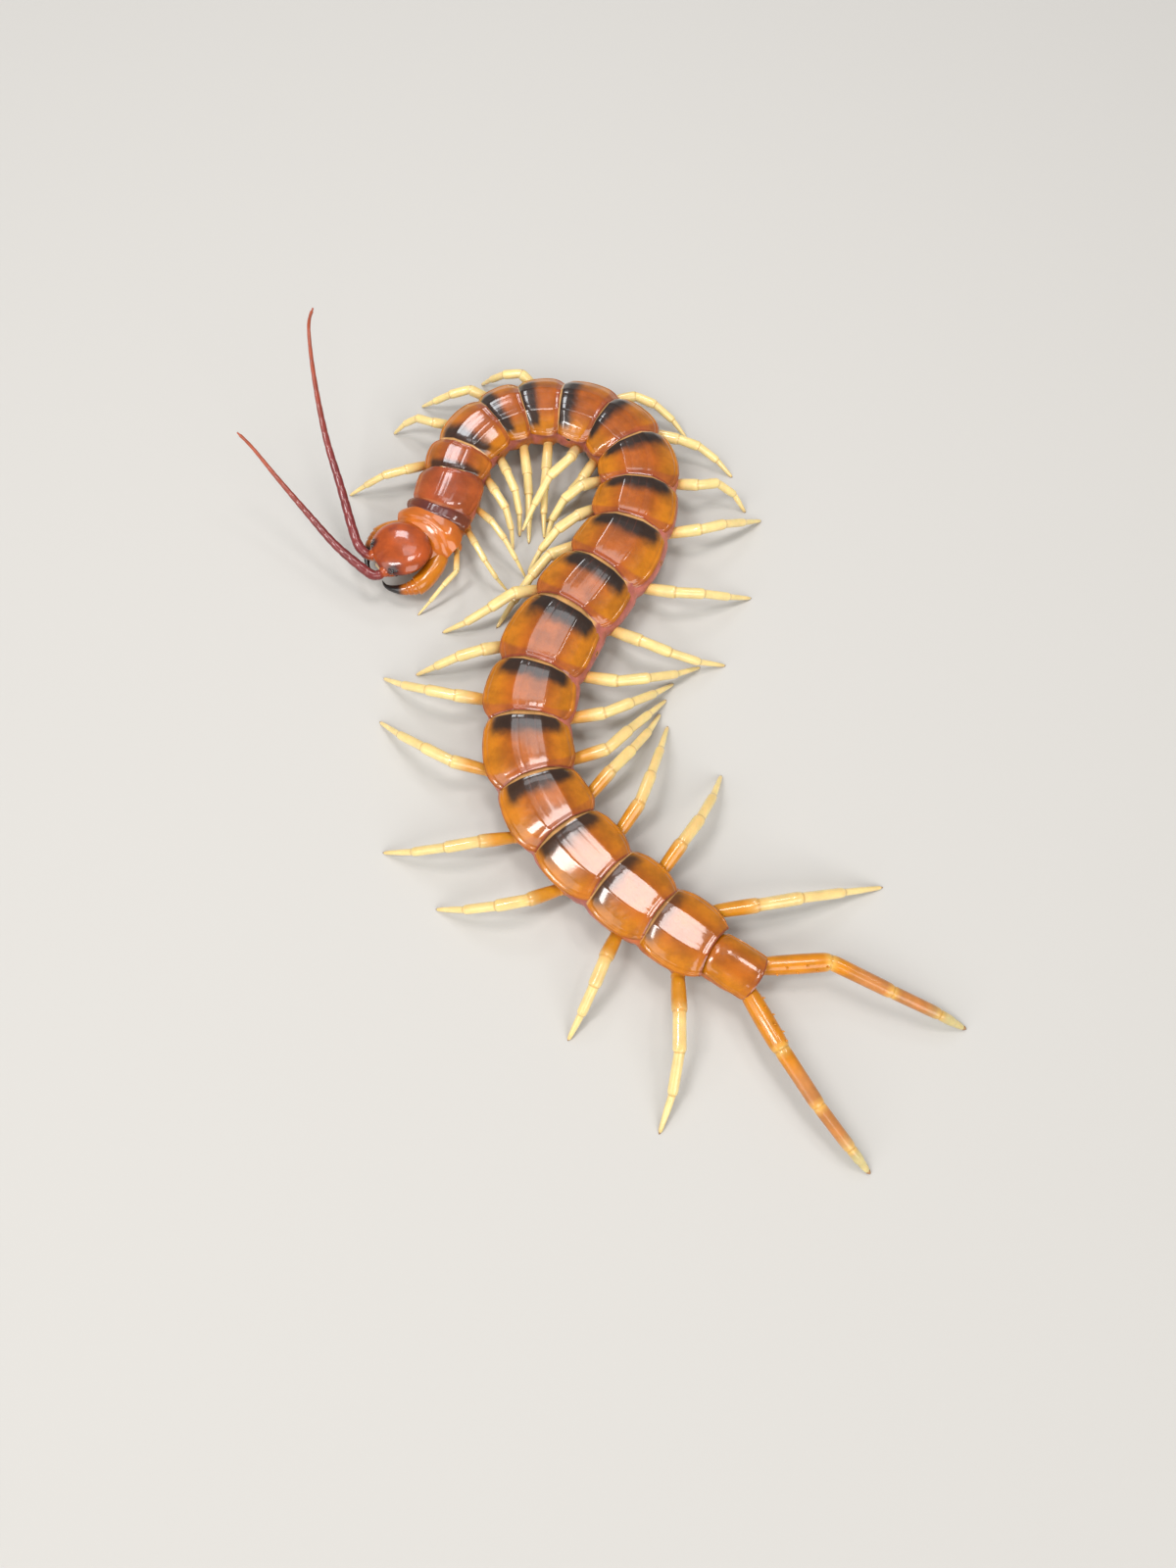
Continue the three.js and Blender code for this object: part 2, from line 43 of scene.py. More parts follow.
# The trunk's plan: the same numbers as the solids
body = {
    "shift": (0.97, -91.62),
    "neck": (-36.6, 124.4, 50.0),  # x, y and heading towards the tail
    "head": (-38.9, 122.3, 38.0),
    "belly": 2.2,
    "gap": 0.3,
    "segments": [  # length, width, crown, turn
        (6.9, 14.0, 9.3, 19), (1.8, 13.4, 9.4, 4), (8.4, 13.2, 9.7, 9), (6.1, 13.2, 9.8, -11),
        (9.3, 13.4, 10.0, -30), (6.6, 13.8, 10.1, -22), (7.6, 14.2, 10.2, -21), (9.0, 14.8, 10.4, -26),
        (8.1, 15.4, 10.4, -31), (9.7, 16.0, 10.5, -33), (9.5, 16.4, 10.5, -12), (11.6, 17.0, 10.6, -19),
        (10.9, 17.2, 10.6, 4), (13.6, 17.0, 10.6, 15), (10.4, 16.8, 10.5, 15), (11.7, 16.4, 10.4, 21),
        (11.0, 16.0, 10.2, 19), (11.6, 15.4, 10.0, 12), (10.7, 14.8, 9.7, 4), (11.0, 13.8, 9.3, 4),
        (8.1, 11.4, 8.8, 2),
    ],
}
segmentCount = len(body["segments"])
antennaArticles = 19


def along(place, length, turn):
    half = radians(turn / 2)
    chord = length * sin(half) / half if abs(half) > 1e-6 else length
    way = radians(place[2]) + half
    return (place[0] + chord * cos(way), place[1] + chord * sin(way), place[2] + turn)


stations = [body["neck"]]
for length, width, crown, turn in body["segments"]:
    stations.append(along(stations[-1], length, turn))


def placeOn(k, distance):
    length, width, crown, turn = body["segments"][k - 1]
    return along(stations[k - 1], distance, turn * distance / length)


def atPlace(place, forward, left, up):
    c, s = cos(radians(place[2])), sin(radians(place[2]))
    x = place[0] - forward * c + left * s + body["shift"][0]
    y = place[1] - forward * s - left * c + body["shift"][1]
    return np.array([x, y, up])


def inHead(point):
    return atPlace(body["head"], *point)


def allInHead(points):
    return np.array([inHead(point) for point in points])


def towardsTail(place):
    return np.array([cos(radians(place[2])), sin(radians(place[2])), 0.0])


def unit(vector):
    return vector / np.linalg.norm(vector)


def smooth(x):
    t = np.clip(x, 0, 1)
    return t * t * (3 - 2 * t)


def readCurve(pairs, x):
    return float(np.interp(x, *zip(*pairs)))


# Blender helpers

def deselectAll():
    for other in list(bpy.context.selected_objects):
        other.select_set(False)
    bpy.context.view_layer.objects.active = None


def makeActive(piece):
    deselectAll()
    piece.select_set(True)
    bpy.context.view_layer.objects.active = piece


def editing(piece):
    makeActive(piece)
    bpy.ops.object.mode_set(mode='EDIT')
    bpy.ops.mesh.select_all(action='SELECT')


def doneEditing():
    bpy.ops.object.mode_set(mode='OBJECT')


def newPrimitive(name, adder, **sizes):
    deselectAll()
    adder(**sizes)
    piece = bpy.context.object
    piece.name = name
    piece.data.name = name
    return piece


def newBall(name, segments, rings):
    return newPrimitive(name, bpy.ops.mesh.primitive_uv_sphere_add, segments=segments, ring_count=rings,
                        radius=1)


def coordinates(mesh):
    found = np.empty(len(mesh.vertices) * 3)
    mesh.vertices.foreach_get("co", found)
    return found.reshape(-1, 3)


# Points in millimetres
def setCoordinates(mesh, points):
    mesh.vertices.foreach_set("co", np.ascontiguousarray(points * mm, dtype=float).ravel())
    mesh.update()


# Named numbers at the points, which the materials read
def setShares(mesh, **shares):
    for name, values in shares.items():
        attribute = mesh.attributes.get(name) or mesh.attributes.new(name, 'FLOAT', 'POINT')
        full = np.broadcast_to(np.asarray(values, dtype=np.float32), (len(mesh.vertices),))
        attribute.data.foreach_set("value", np.ascontiguousarray(full))


def copyOf(blank, name):
    piece = bpy.data.objects.new(name, blank.data.copy())
    piece.data.name = name
    bpy.context.collection.objects.link(piece)
    return piece


def dropBlank(blank):
    mesh = blank.data
    bpy.data.objects.remove(blank)
    bpy.data.meshes.remove(mesh)


def applyModifier(piece, kind, **settings):
    makeActive(piece)
    modifier = piece.modifiers.new(kind.lower(), kind)
    for key, value in settings.items():
        setattr(modifier, key, value)
    bpy.ops.object.modifier_apply(modifier=modifier.name)


def recalculateNormals(piece):
    editing(piece)
    bpy.ops.mesh.normals_make_consistent(inside=False)
    doneEditing()


def joinPieces(name, pieces):
    makeActive(pieces[0])
    for piece in pieces[1:]:
        piece.select_set(True)
    if len(pieces) > 1:
        bpy.ops.object.join()
    joined = bpy.context.object
    joined.name = name
    joined.data.name = name
    return joined


def finishPiece(piece, material, nodes=(), angle=None):
    piece.data.materials.clear()
    piece.data.materials.append(material)
    makeActive(piece)
    if angle is None:
        bpy.ops.object.shade_smooth()
    else:
        bpy.ops.object.shade_smooth_by_angle(angle=radians(angle))
    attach(piece, "root")
    if nodes:
        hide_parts(*nodes)
    return piece


# Turned blanks: a ring of points extruded along +X, ring by ring, as (place, radius)
def turnedBlank(name, profile, sides):
    place, radius = profile[0]
    blank = newPrimitive(name, bpy.ops.mesh.primitive_circle_add, vertices=sides, radius=radius,
                         fill_type='NGON', location=(place, 0, 0), rotation=(0, pi / 2, 0))
    bpy.ops.object.transform_apply(location=True, rotation=True, scale=True)
    editing(blank)
    for nextPlace, nextRadius in profile[1:]:
        bpy.ops.mesh.extrude_region_move(TRANSFORM_OT_translate={"value": (nextPlace - place, 0, 0)})
        share = nextRadius / radius
        bpy.ops.transform.resize(value=(1, share, share))
        place, radius = nextPlace, nextRadius
    bpy.ops.mesh.select_all(action='SELECT')
    bpy.ops.mesh.normals_make_consistent(inside=False)
    doneEditing()
    return blank


# Lays a turned blank along a path: each ring's place on +X picks a point and a direction
def layAlong(mesh, centreAt, directionAt, radiusAt, flatness=1.0):
    points = coordinates(mesh)
    laid = np.empty_like(points)
    for place in np.unique(points[:, 0].round(5)):
        ring = np.abs(points[:, 0] - place) < 2e-5
        direction = unit(directionAt(place))
        across = unit(np.array([direction[1], -direction[0], 0.0]))
        over = np.cross(across, direction)
        radius = radiusAt(place)
        laid[ring] = (centreAt(place) + np.outer(points[ring, 1] * radius, across)
                      + np.outer(points[ring, 2] * radius * flatness, over))
    setShares(mesh, along=points[:, 0], upward=points[:, 2])
    laid[:, 2] = np.maximum(laid[:, 2], 0.02)  # nothing dips under the ground
    setCoordinates(mesh, laid)


def splineThrough(points):
    knots = np.array(points, dtype=float)

    def at(t):
        u = np.clip(t, 0, 1) * (len(knots) - 1)
        i = min(int(u), len(knots) - 2)
        f = u - i
        p0, p1 = knots[max(i - 1, 0)], knots[i]
        p2, p3 = knots[i + 1], knots[min(i + 2, len(knots) - 1)]
        return 0.5 * ((2 * p1) + (p2 - p0) * f + (2 * p0 - 5 * p1 + 4 * p2 - p3) * f ** 2
                      + (3 * p1 - p0 - 3 * p2 + p3) * f ** 3)
    return at


# The same curve run at an even pace
def evenly(curve):
    steps = np.linspace(0, 1, 401)
    points = np.array([curve(t) for t in steps])
    lengths = np.append(0, np.cumsum(np.linalg.norm(np.diff(points, axis=0), axis=1)))

    def at(share):
        return curve(float(np.interp(np.clip(share, 0, 1) * lengths[-1], lengths, steps)))
    return at


def slopeOf(curve, t):
    return curve(min(t + 0.01, 1)) - curve(max(t - 0.01, 0))


# Camera, floor and light
view = {"height": 202.3, "pitch": 68.5, "roll": 4.0, "lens": 27.1}


def addCamera():
    pitch, roll = radians(view["pitch"]), radians(view["roll"])
    forward = Vector((0, cos(pitch), -sin(pitch)))
    level = Vector((1, 0, 0))
    rise = Vector((0, sin(pitch), cos(pitch)))
    right = level * cos(roll) + rise * sin(roll)
    up = rise * cos(roll) - level * sin(roll)
    data = bpy.data.cameras.new("photoCamera")
    data.lens = view["lens"]
    data.sensor_width = 36
    data.clip_start = 0.01
    camera = bpy.data.objects.new("photoCamera", data)
    turn = Matrix((right, up, -forward)).transposed().to_4x4()
    place = Vector((body["shift"][0], body["shift"][1], view["height"])) * mm
    camera.matrix_world = Matrix.Translation(place) @ turn
    bpy.context.collection.objects.link(camera)
    bpy.context.scene.camera = camera


studio = {
    "lamps": [  # name, place, aim, direction of the long side, both sizes, power, colour; in metres and watts
        ("rearPanel", (0.04, 0.13, 0.6), (0.01, -0.03, 0), (1, 0, 0), (0.15, 0.14), 1.0, (1, 0.95, 0.94)),
        ("middlePanel", (-0.04, 0.31, 0.6), (0, 0.01, 0), (1, 0, 0), (0.18, 0.13), 0.27, (0.94, 0.97, 1)),
        ("frontPanel", (-0.155, 0.54, 0.6), (-0.03, 0.05, 0), (1, 0, 0), (0.11, 0.12), 0.6, (0.93, 0.96, 1)),
        ("headGlint", (-0.42, -0.18, 0.8), (-0.04, 0.03, 0), (0.6, 0.33, 0.4), (0.36, 0.15), 4.0,
         (1, 0.98, 0.97)),
        ("tailGlint", (0.37, 0.24, 0.76), (0.03, -0.04, 0), (1, 0, 0), (0.09, 0.12), 0.55, (1, 0.97, 0.96)),
        ("fill", (0.6, -0.95, 0.85), (0, 0, 0), (1, 0, 0), (1.2, 0.9), 13.0, (1, 0.98, 0.95)),
        ("left", (-1, -0.8, 0.8), (0, 0, 0), (0, 1, 0), (1.2, 0.9), 7.5, (1, 0.98, 0.95)),
    ],
    "sky": (0.95, 0.97, 1.0), "skyStrength": 0.30,
    "board": (0.49, 0.48, 0.455), "boardRoughness": 0.75, "boardSize": 3,
}


def addLamps():
    for name, place, aim, longSide, size, power, colour in studio["lamps"]:
        data = bpy.data.lights.new(name, 'AREA')
        data.shape = 'RECTANGLE'
        data.size, data.size_y = size
        data.energy = power
        data.color = colour
        lamp = bpy.data.objects.new(name, data)
        back = (Vector(place) - Vector(aim)).normalized()
        side = Vector(longSide)
        side = (side - back * side.dot(back)).normalized()
        turn = Matrix((side, back.cross(side), back)).transposed().to_4x4()
        lamp.matrix_world = Matrix.Translation(place) @ turn
        bpy.context.collection.objects.link(lamp)


def addSky():
    world = bpy.data.worlds.new("studio")
    world.use_nodes = True
    background = world.node_tree.nodes["Background"]
    background.inputs["Color"].default_value = (*studio["sky"], 1)
    background.inputs["Strength"].default_value = studio["skyStrength"]
    bpy.context.scene.world = world


# Materials

def newGroup(name, inputs, outputs):
    group = bpy.data.node_groups.new(name, 'ShaderNodeTree')
    for socketName, kind, value in inputs:
        socket = group.interface.new_socket(socketName, in_out='INPUT', socket_type=kind)
        if value is not None:
            socket.default_value = value
    for socketName, kind in outputs:
        group.interface.new_socket(socketName, in_out='OUTPUT', socket_type=kind)
    return group, group.nodes.new('NodeGroupInput'), group.nodes.new('NodeGroupOutput')


def addNode(tree, kind, settings=None, **values):
    node = tree.nodes.new(kind)
    for key, value in (settings or {}).items():
        setattr(node, key, value)
    for key, value in values.items():
        node.inputs[key].default_value = value
    return node


def mathNode(tree, operation, a, b=None):
    node = addNode(tree, 'ShaderNodeMath', {"operation": operation})
    for socket, value in zip(node.inputs, (a, b)):
        if isinstance(value, (int, float)):
            socket.default_value = value
        elif value is not None:
            tree.links.new(value, socket)
    return node.outputs[0]


def times(tree, a, b):
    return mathNode(tree, 'MULTIPLY', a, b)


def plus(tree, a, b):
    return mathNode(tree, 'ADD', a, b)


def minus(tree, a, b):
    return mathNode(tree, 'SUBTRACT', a, b)


def larger(tree, a, b):
    return mathNode(tree, 'MAXIMUM', a, b)


def rangeNode(tree, value, low, high, outLow=0.0, outHigh=1.0):
    node = addNode(tree, 'ShaderNodeMapRange', {"interpolation_type": 'SMOOTHSTEP'})
    for index, given in enumerate((value, low, high, outLow, outHigh)):
        if isinstance(given, (int, float)):
            node.inputs[index].default_value = given
        else:
            tree.links.new(given, node.inputs[index])
    return node.outputs[0]


def mixColour(tree, share, a, b):
    node = addNode(tree, 'ShaderNodeMix', {"data_type": 'RGBA'})
    for socket, given in ((node.inputs[0], share), (node.inputs[6], a), (node.inputs[7], b)):
        if isinstance(given, (int, float)):
            socket.default_value = given
        elif isinstance(given, tuple):
            socket.default_value = (*given, 1)
        else:
            tree.links.new(given, socket)
    return node.outputs[2]


def shareOf(tree, name):
    return addNode(tree, 'ShaderNodeAttribute', {"attribute_name": name}).outputs["Fac"]


def noiseOn(tree, **values):
    place = addNode(tree, 'ShaderNodeTexCoord')
    noise = addNode(tree, 'ShaderNodeTexNoise', **values)
    tree.links.new(place.outputs["Object"], noise.inputs["Vector"])
    return noise


# Clouds of lighter and darker colour, as in living cuticle
def buildMottle():
    group, entry, result = newGroup("cuticleMottle", [
        ("Color", 'NodeSocketColor', (0.5, 0.2, 0.05, 1)), ("Scale", 'NodeSocketFloat', 400.0),
        ("Depth", 'NodeSocketFloat', 0.3)], [("Color", 'NodeSocketColor')])
    clouds = noiseOn(group, Detail=5.0, Roughness=0.6)
    group.links.new(entry.outputs["Scale"], clouds.inputs["Scale"])
    spread = rangeNode(group, clouds.outputs["Fac"], 0.3, 0.7, -0.5, 0.5)
    factor = plus(group, times(group, spread, entry.outputs["Depth"]), 1.0)
    scaled = addNode(group, 'ShaderNodeVectorMath', {"operation": 'SCALE'})
    group.links.new(entry.outputs["Color"], scaled.inputs[0])
    group.links.new(factor, scaled.inputs["Scale"])
    group.links.new(scaled.outputs[0], result.inputs["Color"])
    return group


# Fine pits and wrinkles that break up the gloss
def buildRelief():
    group, entry, result = newGroup("cuticleRelief", [
        ("Scale", 'NodeSocketFloat', 900.0), ("Depth", 'NodeSocketFloat', 0.00002),
        ("Wrinkles", 'NodeSocketFloat', 0.5)], [("Height", 'NodeSocketFloat')])
    pits = noiseOn(group, Detail=3.0, Roughness=0.5)
    folds = noiseOn(group, Detail=2.0, Roughness=0.4, Distortion=1.5)
    group.links.new(entry.outputs["Scale"], pits.inputs["Scale"])
    group.links.new(times(group, entry.outputs["Scale"], 0.3), folds.inputs["Scale"])
    wrinkled = times(group, folds.outputs["Fac"], entry.outputs["Wrinkles"])
    total = plus(group, pits.outputs["Fac"], wrinkled)
    group.links.new(times(group, total, entry.outputs["Depth"]), result.inputs["Height"])
    return group


mottle = buildMottle()
relief = buildRelief()


def groupNode(tree, group, **values):
    node = tree.nodes.new('ShaderNodeGroup')
    node.node_tree = group
    for key, value in values.items():
        node.inputs[key].default_value = value
    return node


def newMaterial(name, looks):
    material = bpy.data.materials.new(name)
    material.use_nodes = True
    shader = material.node_tree.nodes["Principled BSDF"]
    for socketName, value in looks.items():
        shader.inputs[socketName].default_value = value
    return material


# A glossy, slightly see-through cuticle; paint is one colour, or makes its colour in the tree
def cuticle(name, paint, look):
    material = newMaterial(name, {
        "Roughness": look["roughness"], "Specular IOR Level": look.get("specular", 0.5),
        "Coat Weight": look["coat"], "Coat Roughness": look.get("coatRoughness", 0.08),
        "Subsurface Weight": look.get("glow", 0.0), "Subsurface Radius": (1.0, 0.35, 0.12),
        "Subsurface Scale": look.get("glowDepth", 0.0008)})
    tree = material.node_tree
    shader = tree.nodes["Principled BSDF"]
    clouds = groupNode(tree, mottle, Scale=look.get("cloudScale", 350.0), Depth=look.get("clouds", 0.3))
    if isinstance(paint, tuple):
        clouds.inputs["Color"].default_value = (*paint, 1)
    else:
        tree.links.new(paint(tree), clouds.inputs["Color"])
    tree.links.new(clouds.outputs["Color"], shader.inputs["Base Color"])
    grain = groupNode(tree, relief, Scale=look.get("grain", 900.0), Depth=look.get("depth", 0.00002),
                      Wrinkles=look.get("wrinkles", 0.5))
    bump = addNode(tree, 'ShaderNodeBump', Strength=1.0, Distance=1.0)
    tree.links.new(grain.outputs["Height"], bump.inputs["Height"])
    tree.links.new(bump.outputs["Normal"], shader.inputs["Normal"])
    return material


tint = {
    "dark": (0.016, 0.009, 0.006), "maroon": (0.10, 0.018, 0.012), "front": (0.30, 0.056, 0.012),
    "middle": (0.33, 0.076, 0.004), "rear": (0.36, 0.092, 0.002), "amberSide": (0.44, 0.145, 0.002),
    "strip": (0.27, 0.052, 0.018), "rim": (0.20, 0.036, 0.018), "gold": (0.55, 0.29, 0.10),
    "first": (0.50, 0.125, 0.008), "head": (0.36, 0.062, 0.008), "headShade": (0.15, 0.028, 0.018),
    "eyeField": (0.035, 0.010, 0.010), "pleura": (0.40, 0.115, 0.085), "socket": (0.45, 0.14, 0.02),
    "belly": (0.58, 0.33, 0.09), "fold": (0.34, 0.13, 0.06),
    "cream": (0.78, 0.61, 0.26), "amber": (0.58, 0.22, 0.004), "joint": (0.42, 0.19, 0.03),
    "tip": (0.34, 0.17, 0.05), "terminal": (0.54, 0.19, 0.002), "terminalMiddle": (0.46, 0.18, 0.045),
    "terminalTip": (0.56, 0.46, 0.20), "terminalJoint": (0.72, 0.42, 0.09),
    "antenna": (0.17, 0.022, 0.022), "antennaTip": (0.36, 0.075, 0.03), "antennaJoint": (0.26, 0.05, 0.04),
    "claw": (0.52, 0.165, 0.005), "fang": (0.012, 0.008, 0.007), "eye": (0.006, 0.005, 0.005),
    "lip": (0.74, 0.52, 0.24),
}


# Back plates: gold skin at the very front, a dark band, amber sides, a duller strip and a thin rim behind
def paintPlate(tree):
    v = shareOf(tree, "along")
    a = mathNode(tree, 'ABSOLUTE', shareOf(tree, "across"))
    tone = shareOf(tree, "tone")
    band = shareOf(tree, "band")
    warm = mixColour(tree, rangeNode(tree, tone, -0.4, 0.0), tint["maroon"], tint["front"])
    warm = mixColour(tree, rangeNode(tree, tone, 0.0, 0.55), warm, tint["middle"])
    warm = mixColour(tree, rangeNode(tree, tone, 0.55, 1.0), warm, tint["rear"])
    sideways = times(tree, rangeNode(tree, a, 0.3, 0.8), rangeNode(tree, tone, 0.05, 0.45, 0.1, 0.9))
    warm = mixColour(tree, sideways, warm, tint["amberSide"])
    ragged = noiseOn(tree, Scale=330.0, Detail=3.0, Roughness=0.5)
    waver = rangeNode(tree, ragged.outputs["Fac"], 0.25, 0.75, -0.04, 0.04)
    bent = times(tree, mathNode(tree, 'POWER', a, 4.0), 0.14)
    edge = minus(tree, plus(tree, shareOf(tree, "reach"), waver), times(tree, bent, 0.8))
    behind = rangeNode(tree, v, minus(tree, edge, 0.22), edge, 1.0, 0.0)
    sides = rangeNode(tree, plus(tree, a, waver), 0.70, 0.93, 1.0, 0.0)
    dark = times(tree, times(tree, behind, sides), band)
    colour = mixColour(tree, dark, warm, tint["dark"])
    back = rangeNode(tree, plus(tree, v, bent), 0.87, 0.93)
    back = times(tree, back, rangeNode(tree, tone, 0.6, 1.0, 0.6, 0.2))
    colour = mixColour(tree, back, colour, tint["strip"])
    fore = plus(tree, v, times(tree, mathNode(tree, 'POWER', a, 2.0), 0.05))
    pale = times(tree, rangeNode(tree, fore, 0.115, 0.135, 0.9, 0.0), band)
    colour = mixColour(tree, pale, colour, tint["gold"])
    seam = rangeNode(tree, mathNode(tree, 'ABSOLUTE', minus(tree, a, 0.2)), 0.0, 0.015, 0.22, 0.0)
    midSeam = rangeNode(tree, a, 0.0, 0.015, 0.18, 0.0)
    colour = mixColour(tree, larger(tree, seam, midSeam), colour, tint["rim"])
    rim = larger(tree, rangeNode(tree, v, 0.965, 0.985), rangeNode(tree, a, 0.965, 0.99, 0.0, 0.5))
    return mixColour(tree, times(tree, rim, 0.75), colour, tint["rim"])


def paintFirst(tree):
    behind = rangeNode(tree, shareOf(tree, "along"), 0.5, 0.95, 0.0, 0.35)
    return mixColour(tree, behind, tint["first"], tint["front"])


# Soft skin: mauve sides, amber sockets, gold between the plates, tan folds below
def paintSkin(tree):
    base = mixColour(tree, shareOf(tree, "warm"), tint["pleura"], tint["first"])
    base = mixColour(tree, shareOf(tree, "socket"), base, tint["socket"])
    base = mixColour(tree, shareOf(tree, "back"), base, tint["gold"])
    return mixColour(tree, shareOf(tree, "under"), base, tint["fold"])


# A leg: amber root, cream outer parts, thin brown rings at the joints
def paintLeg(tree):
    v = shareOf(tree, "along")
    tone = shareOf(tree, "tone")
    ends = minus(tree, v, times(tree, tone, 0.65))
    strong = rangeNode(tree, tone, 0.0, 1.0, 0.35, 0.95)
    root = times(tree, rangeNode(tree, ends, 0.05, 0.6, 1.0, 0.0), strong)
    colour = mixColour(tree, root, tint["cream"], tint["amber"])
    upper = times(tree, rangeNode(tree, shareOf(tree, "upward"), 0.3, 1.0), times(tree, tone, 0.35))
    colour = mixColour(tree, upper, colour, tint["amber"])
    near = mathNode(tree, 'PINGPONG', v, 0.5)
    rings = rangeNode(tree, near, 0.008, 0.028, 0.45, 0.0)
    first = rangeNode(tree, v, 0.3, 0.6)
    colour = mixColour(tree, times(tree, rings, first), colour, tint["joint"])
    return mixColour(tree, rangeNode(tree, v, 3.5, 4.0, 0.0, 0.2), colour, tint["joint"])


def paintTerminal(tree):
    v = shareOf(tree, "along")
    colour = mixColour(tree, rangeNode(tree, v, 1.1, 1.6), tint["terminal"], tint["terminalMiddle"])
    colour = mixColour(tree, rangeNode(tree, v, 2.6, 3.3), colour, tint["terminalTip"])
    near = mathNode(tree, 'PINGPONG', v, 0.5)
    outer = rangeNode(tree, v, 0.5, 0.8)
    pale = times(tree, rangeNode(tree, near, 0.0, 0.13, 0.75, 0.0), outer)
    colour = mixColour(tree, pale, colour, tint["terminalJoint"])
    rings = times(tree, rangeNode(tree, near, 0.006, 0.02, 0.45, 0.0), outer)
    return mixColour(tree, rings, colour, tint["joint"])


# Belly plates: glossy straw, darker along the two grooves and the hind edge
def paintBelly(tree):
    a = mathNode(tree, 'ABSOLUTE', shareOf(tree, "across"))
    groove = rangeNode(tree, mathNode(tree, 'ABSOLUTE', minus(tree, a, 0.46)), 0.02, 0.09, 0.7, 0.0)
    hind = rangeNode(tree, shareOf(tree, "along"), 0.8, 1.0, 0.0, 0.6)
    edge = rangeNode(tree, a, 0.8, 1.0, 0.0, 0.6)
    return mixColour(tree, larger(tree, larger(tree, groove, hind), edge), tint["belly"], tint["amberSide"])


def paintAntenna(tree):
    v = shareOf(tree, "along")
    colour = mixColour(tree, rangeNode(tree, v, 0.35, 1.0), tint["antenna"], tint["antennaTip"])
    beads = mathNode(tree, 'PINGPONG', times(tree, v, antennaArticles), 0.5)
    colour = mixColour(tree, rangeNode(tree, beads, 0.02, 0.1, 0.4, 0.0), colour, tint["antennaJoint"])
    return mixColour(tree, rangeNode(tree, v, 0.02, 0.045, 0.8, 0.0), colour, tint["head"])


def paintClaw(tree):
    v = shareOf(tree, "along")
    colour = mixColour(tree, rangeNode(tree, v, 0.45, 0.62, 0.0, 0.5), tint["claw"], tint["front"])
    return mixColour(tree, rangeNode(tree, v, 0.65, 0.735), colour, tint["fang"])


def paintHead(tree):
    patches = noiseOn(tree, Scale=260.0, Detail=3.0, Roughness=0.55)
    dusk = plus(tree, patches.outputs["Fac"], shareOf(tree, "dusk"))
    colour = mixColour(tree, rangeNode(tree, dusk, 0.48, 0.85, 0.0, 0.8), tint["head"], tint["headShade"])
    colour = mixColour(tree, shareOf(tree, "eyeField"), colour, tint["eyeField"])
    return mixColour(tree, shareOf(tree, "pale"), colour, tint["lip"])


finishes = {
    "plate": cuticle("backPlate", paintPlate, {
        "roughness": 0.3, "specular": 0.2, "coat": 0.9, "coatRoughness": 0.09, "clouds": 0.45,
        "cloudScale": 260.0, "depth": 0.00005, "wrinkles": 1.0, "glow": 0.05}),
    "first": cuticle("firstPlate", paintFirst, {
        "roughness": 0.3, "specular": 0.2, "coat": 0.9, "clouds": 0.25, "glow": 0.08}),
    "skin": cuticle("sideSkin", paintSkin, {
        "roughness": 0.42, "specular": 0.3, "coat": 0.4, "coatRoughness": 0.2, "glow": 0.15, "clouds": 0.5,
        "depth": 0.00008, "wrinkles": 1.6, "grain": 700.0}),
    "ring": cuticle("spiracleRing", tint["socket"], {"roughness": 0.35, "coat": 0.6, "glow": 0.1}),
    "leg": cuticle("legCuticle", paintLeg, {
        "roughness": 0.32, "specular": 0.3, "coat": 0.8, "glow": 0.2, "glowDepth": 0.0005, "clouds": 0.16}),
    "terminal": cuticle("lastLegCuticle", paintTerminal, {
        "roughness": 0.32, "specular": 0.3, "coat": 0.6, "glow": 0.2, "clouds": 0.3}),
    "antenna": cuticle("antennaCuticle", paintAntenna, {
        "roughness": 0.36, "specular": 0.3, "coat": 0.5, "glow": 0.1, "clouds": 0.3}),
    "claw": cuticle("fangCuticle", paintClaw, {
        "roughness": 0.28, "specular": 0.25, "coat": 0.9, "glow": 0.12, "clouds": 0.25}),
    "head": cuticle("headCuticle", paintHead, {
        "roughness": 0.32, "specular": 0.2, "coat": 0.8, "glow": 0.03, "clouds": 0.4, "cloudScale": 300.0}),
    "tip": cuticle("clawTip", tint["tip"], {"roughness": 0.25, "coat": 0.6}),
    "black": newMaterial("eyeGloss", {
        "Base Color": (*tint["eye"], 1), "Roughness": 0.08, "Coat Weight": 1.0, "Coat Roughness": 0.08}),
    "belly": cuticle("bellyPlate", paintBelly, {"roughness": 0.32, "coat": 0.8, "glow": 0.1, "clouds": 0.25}),
}
print("materials ready")

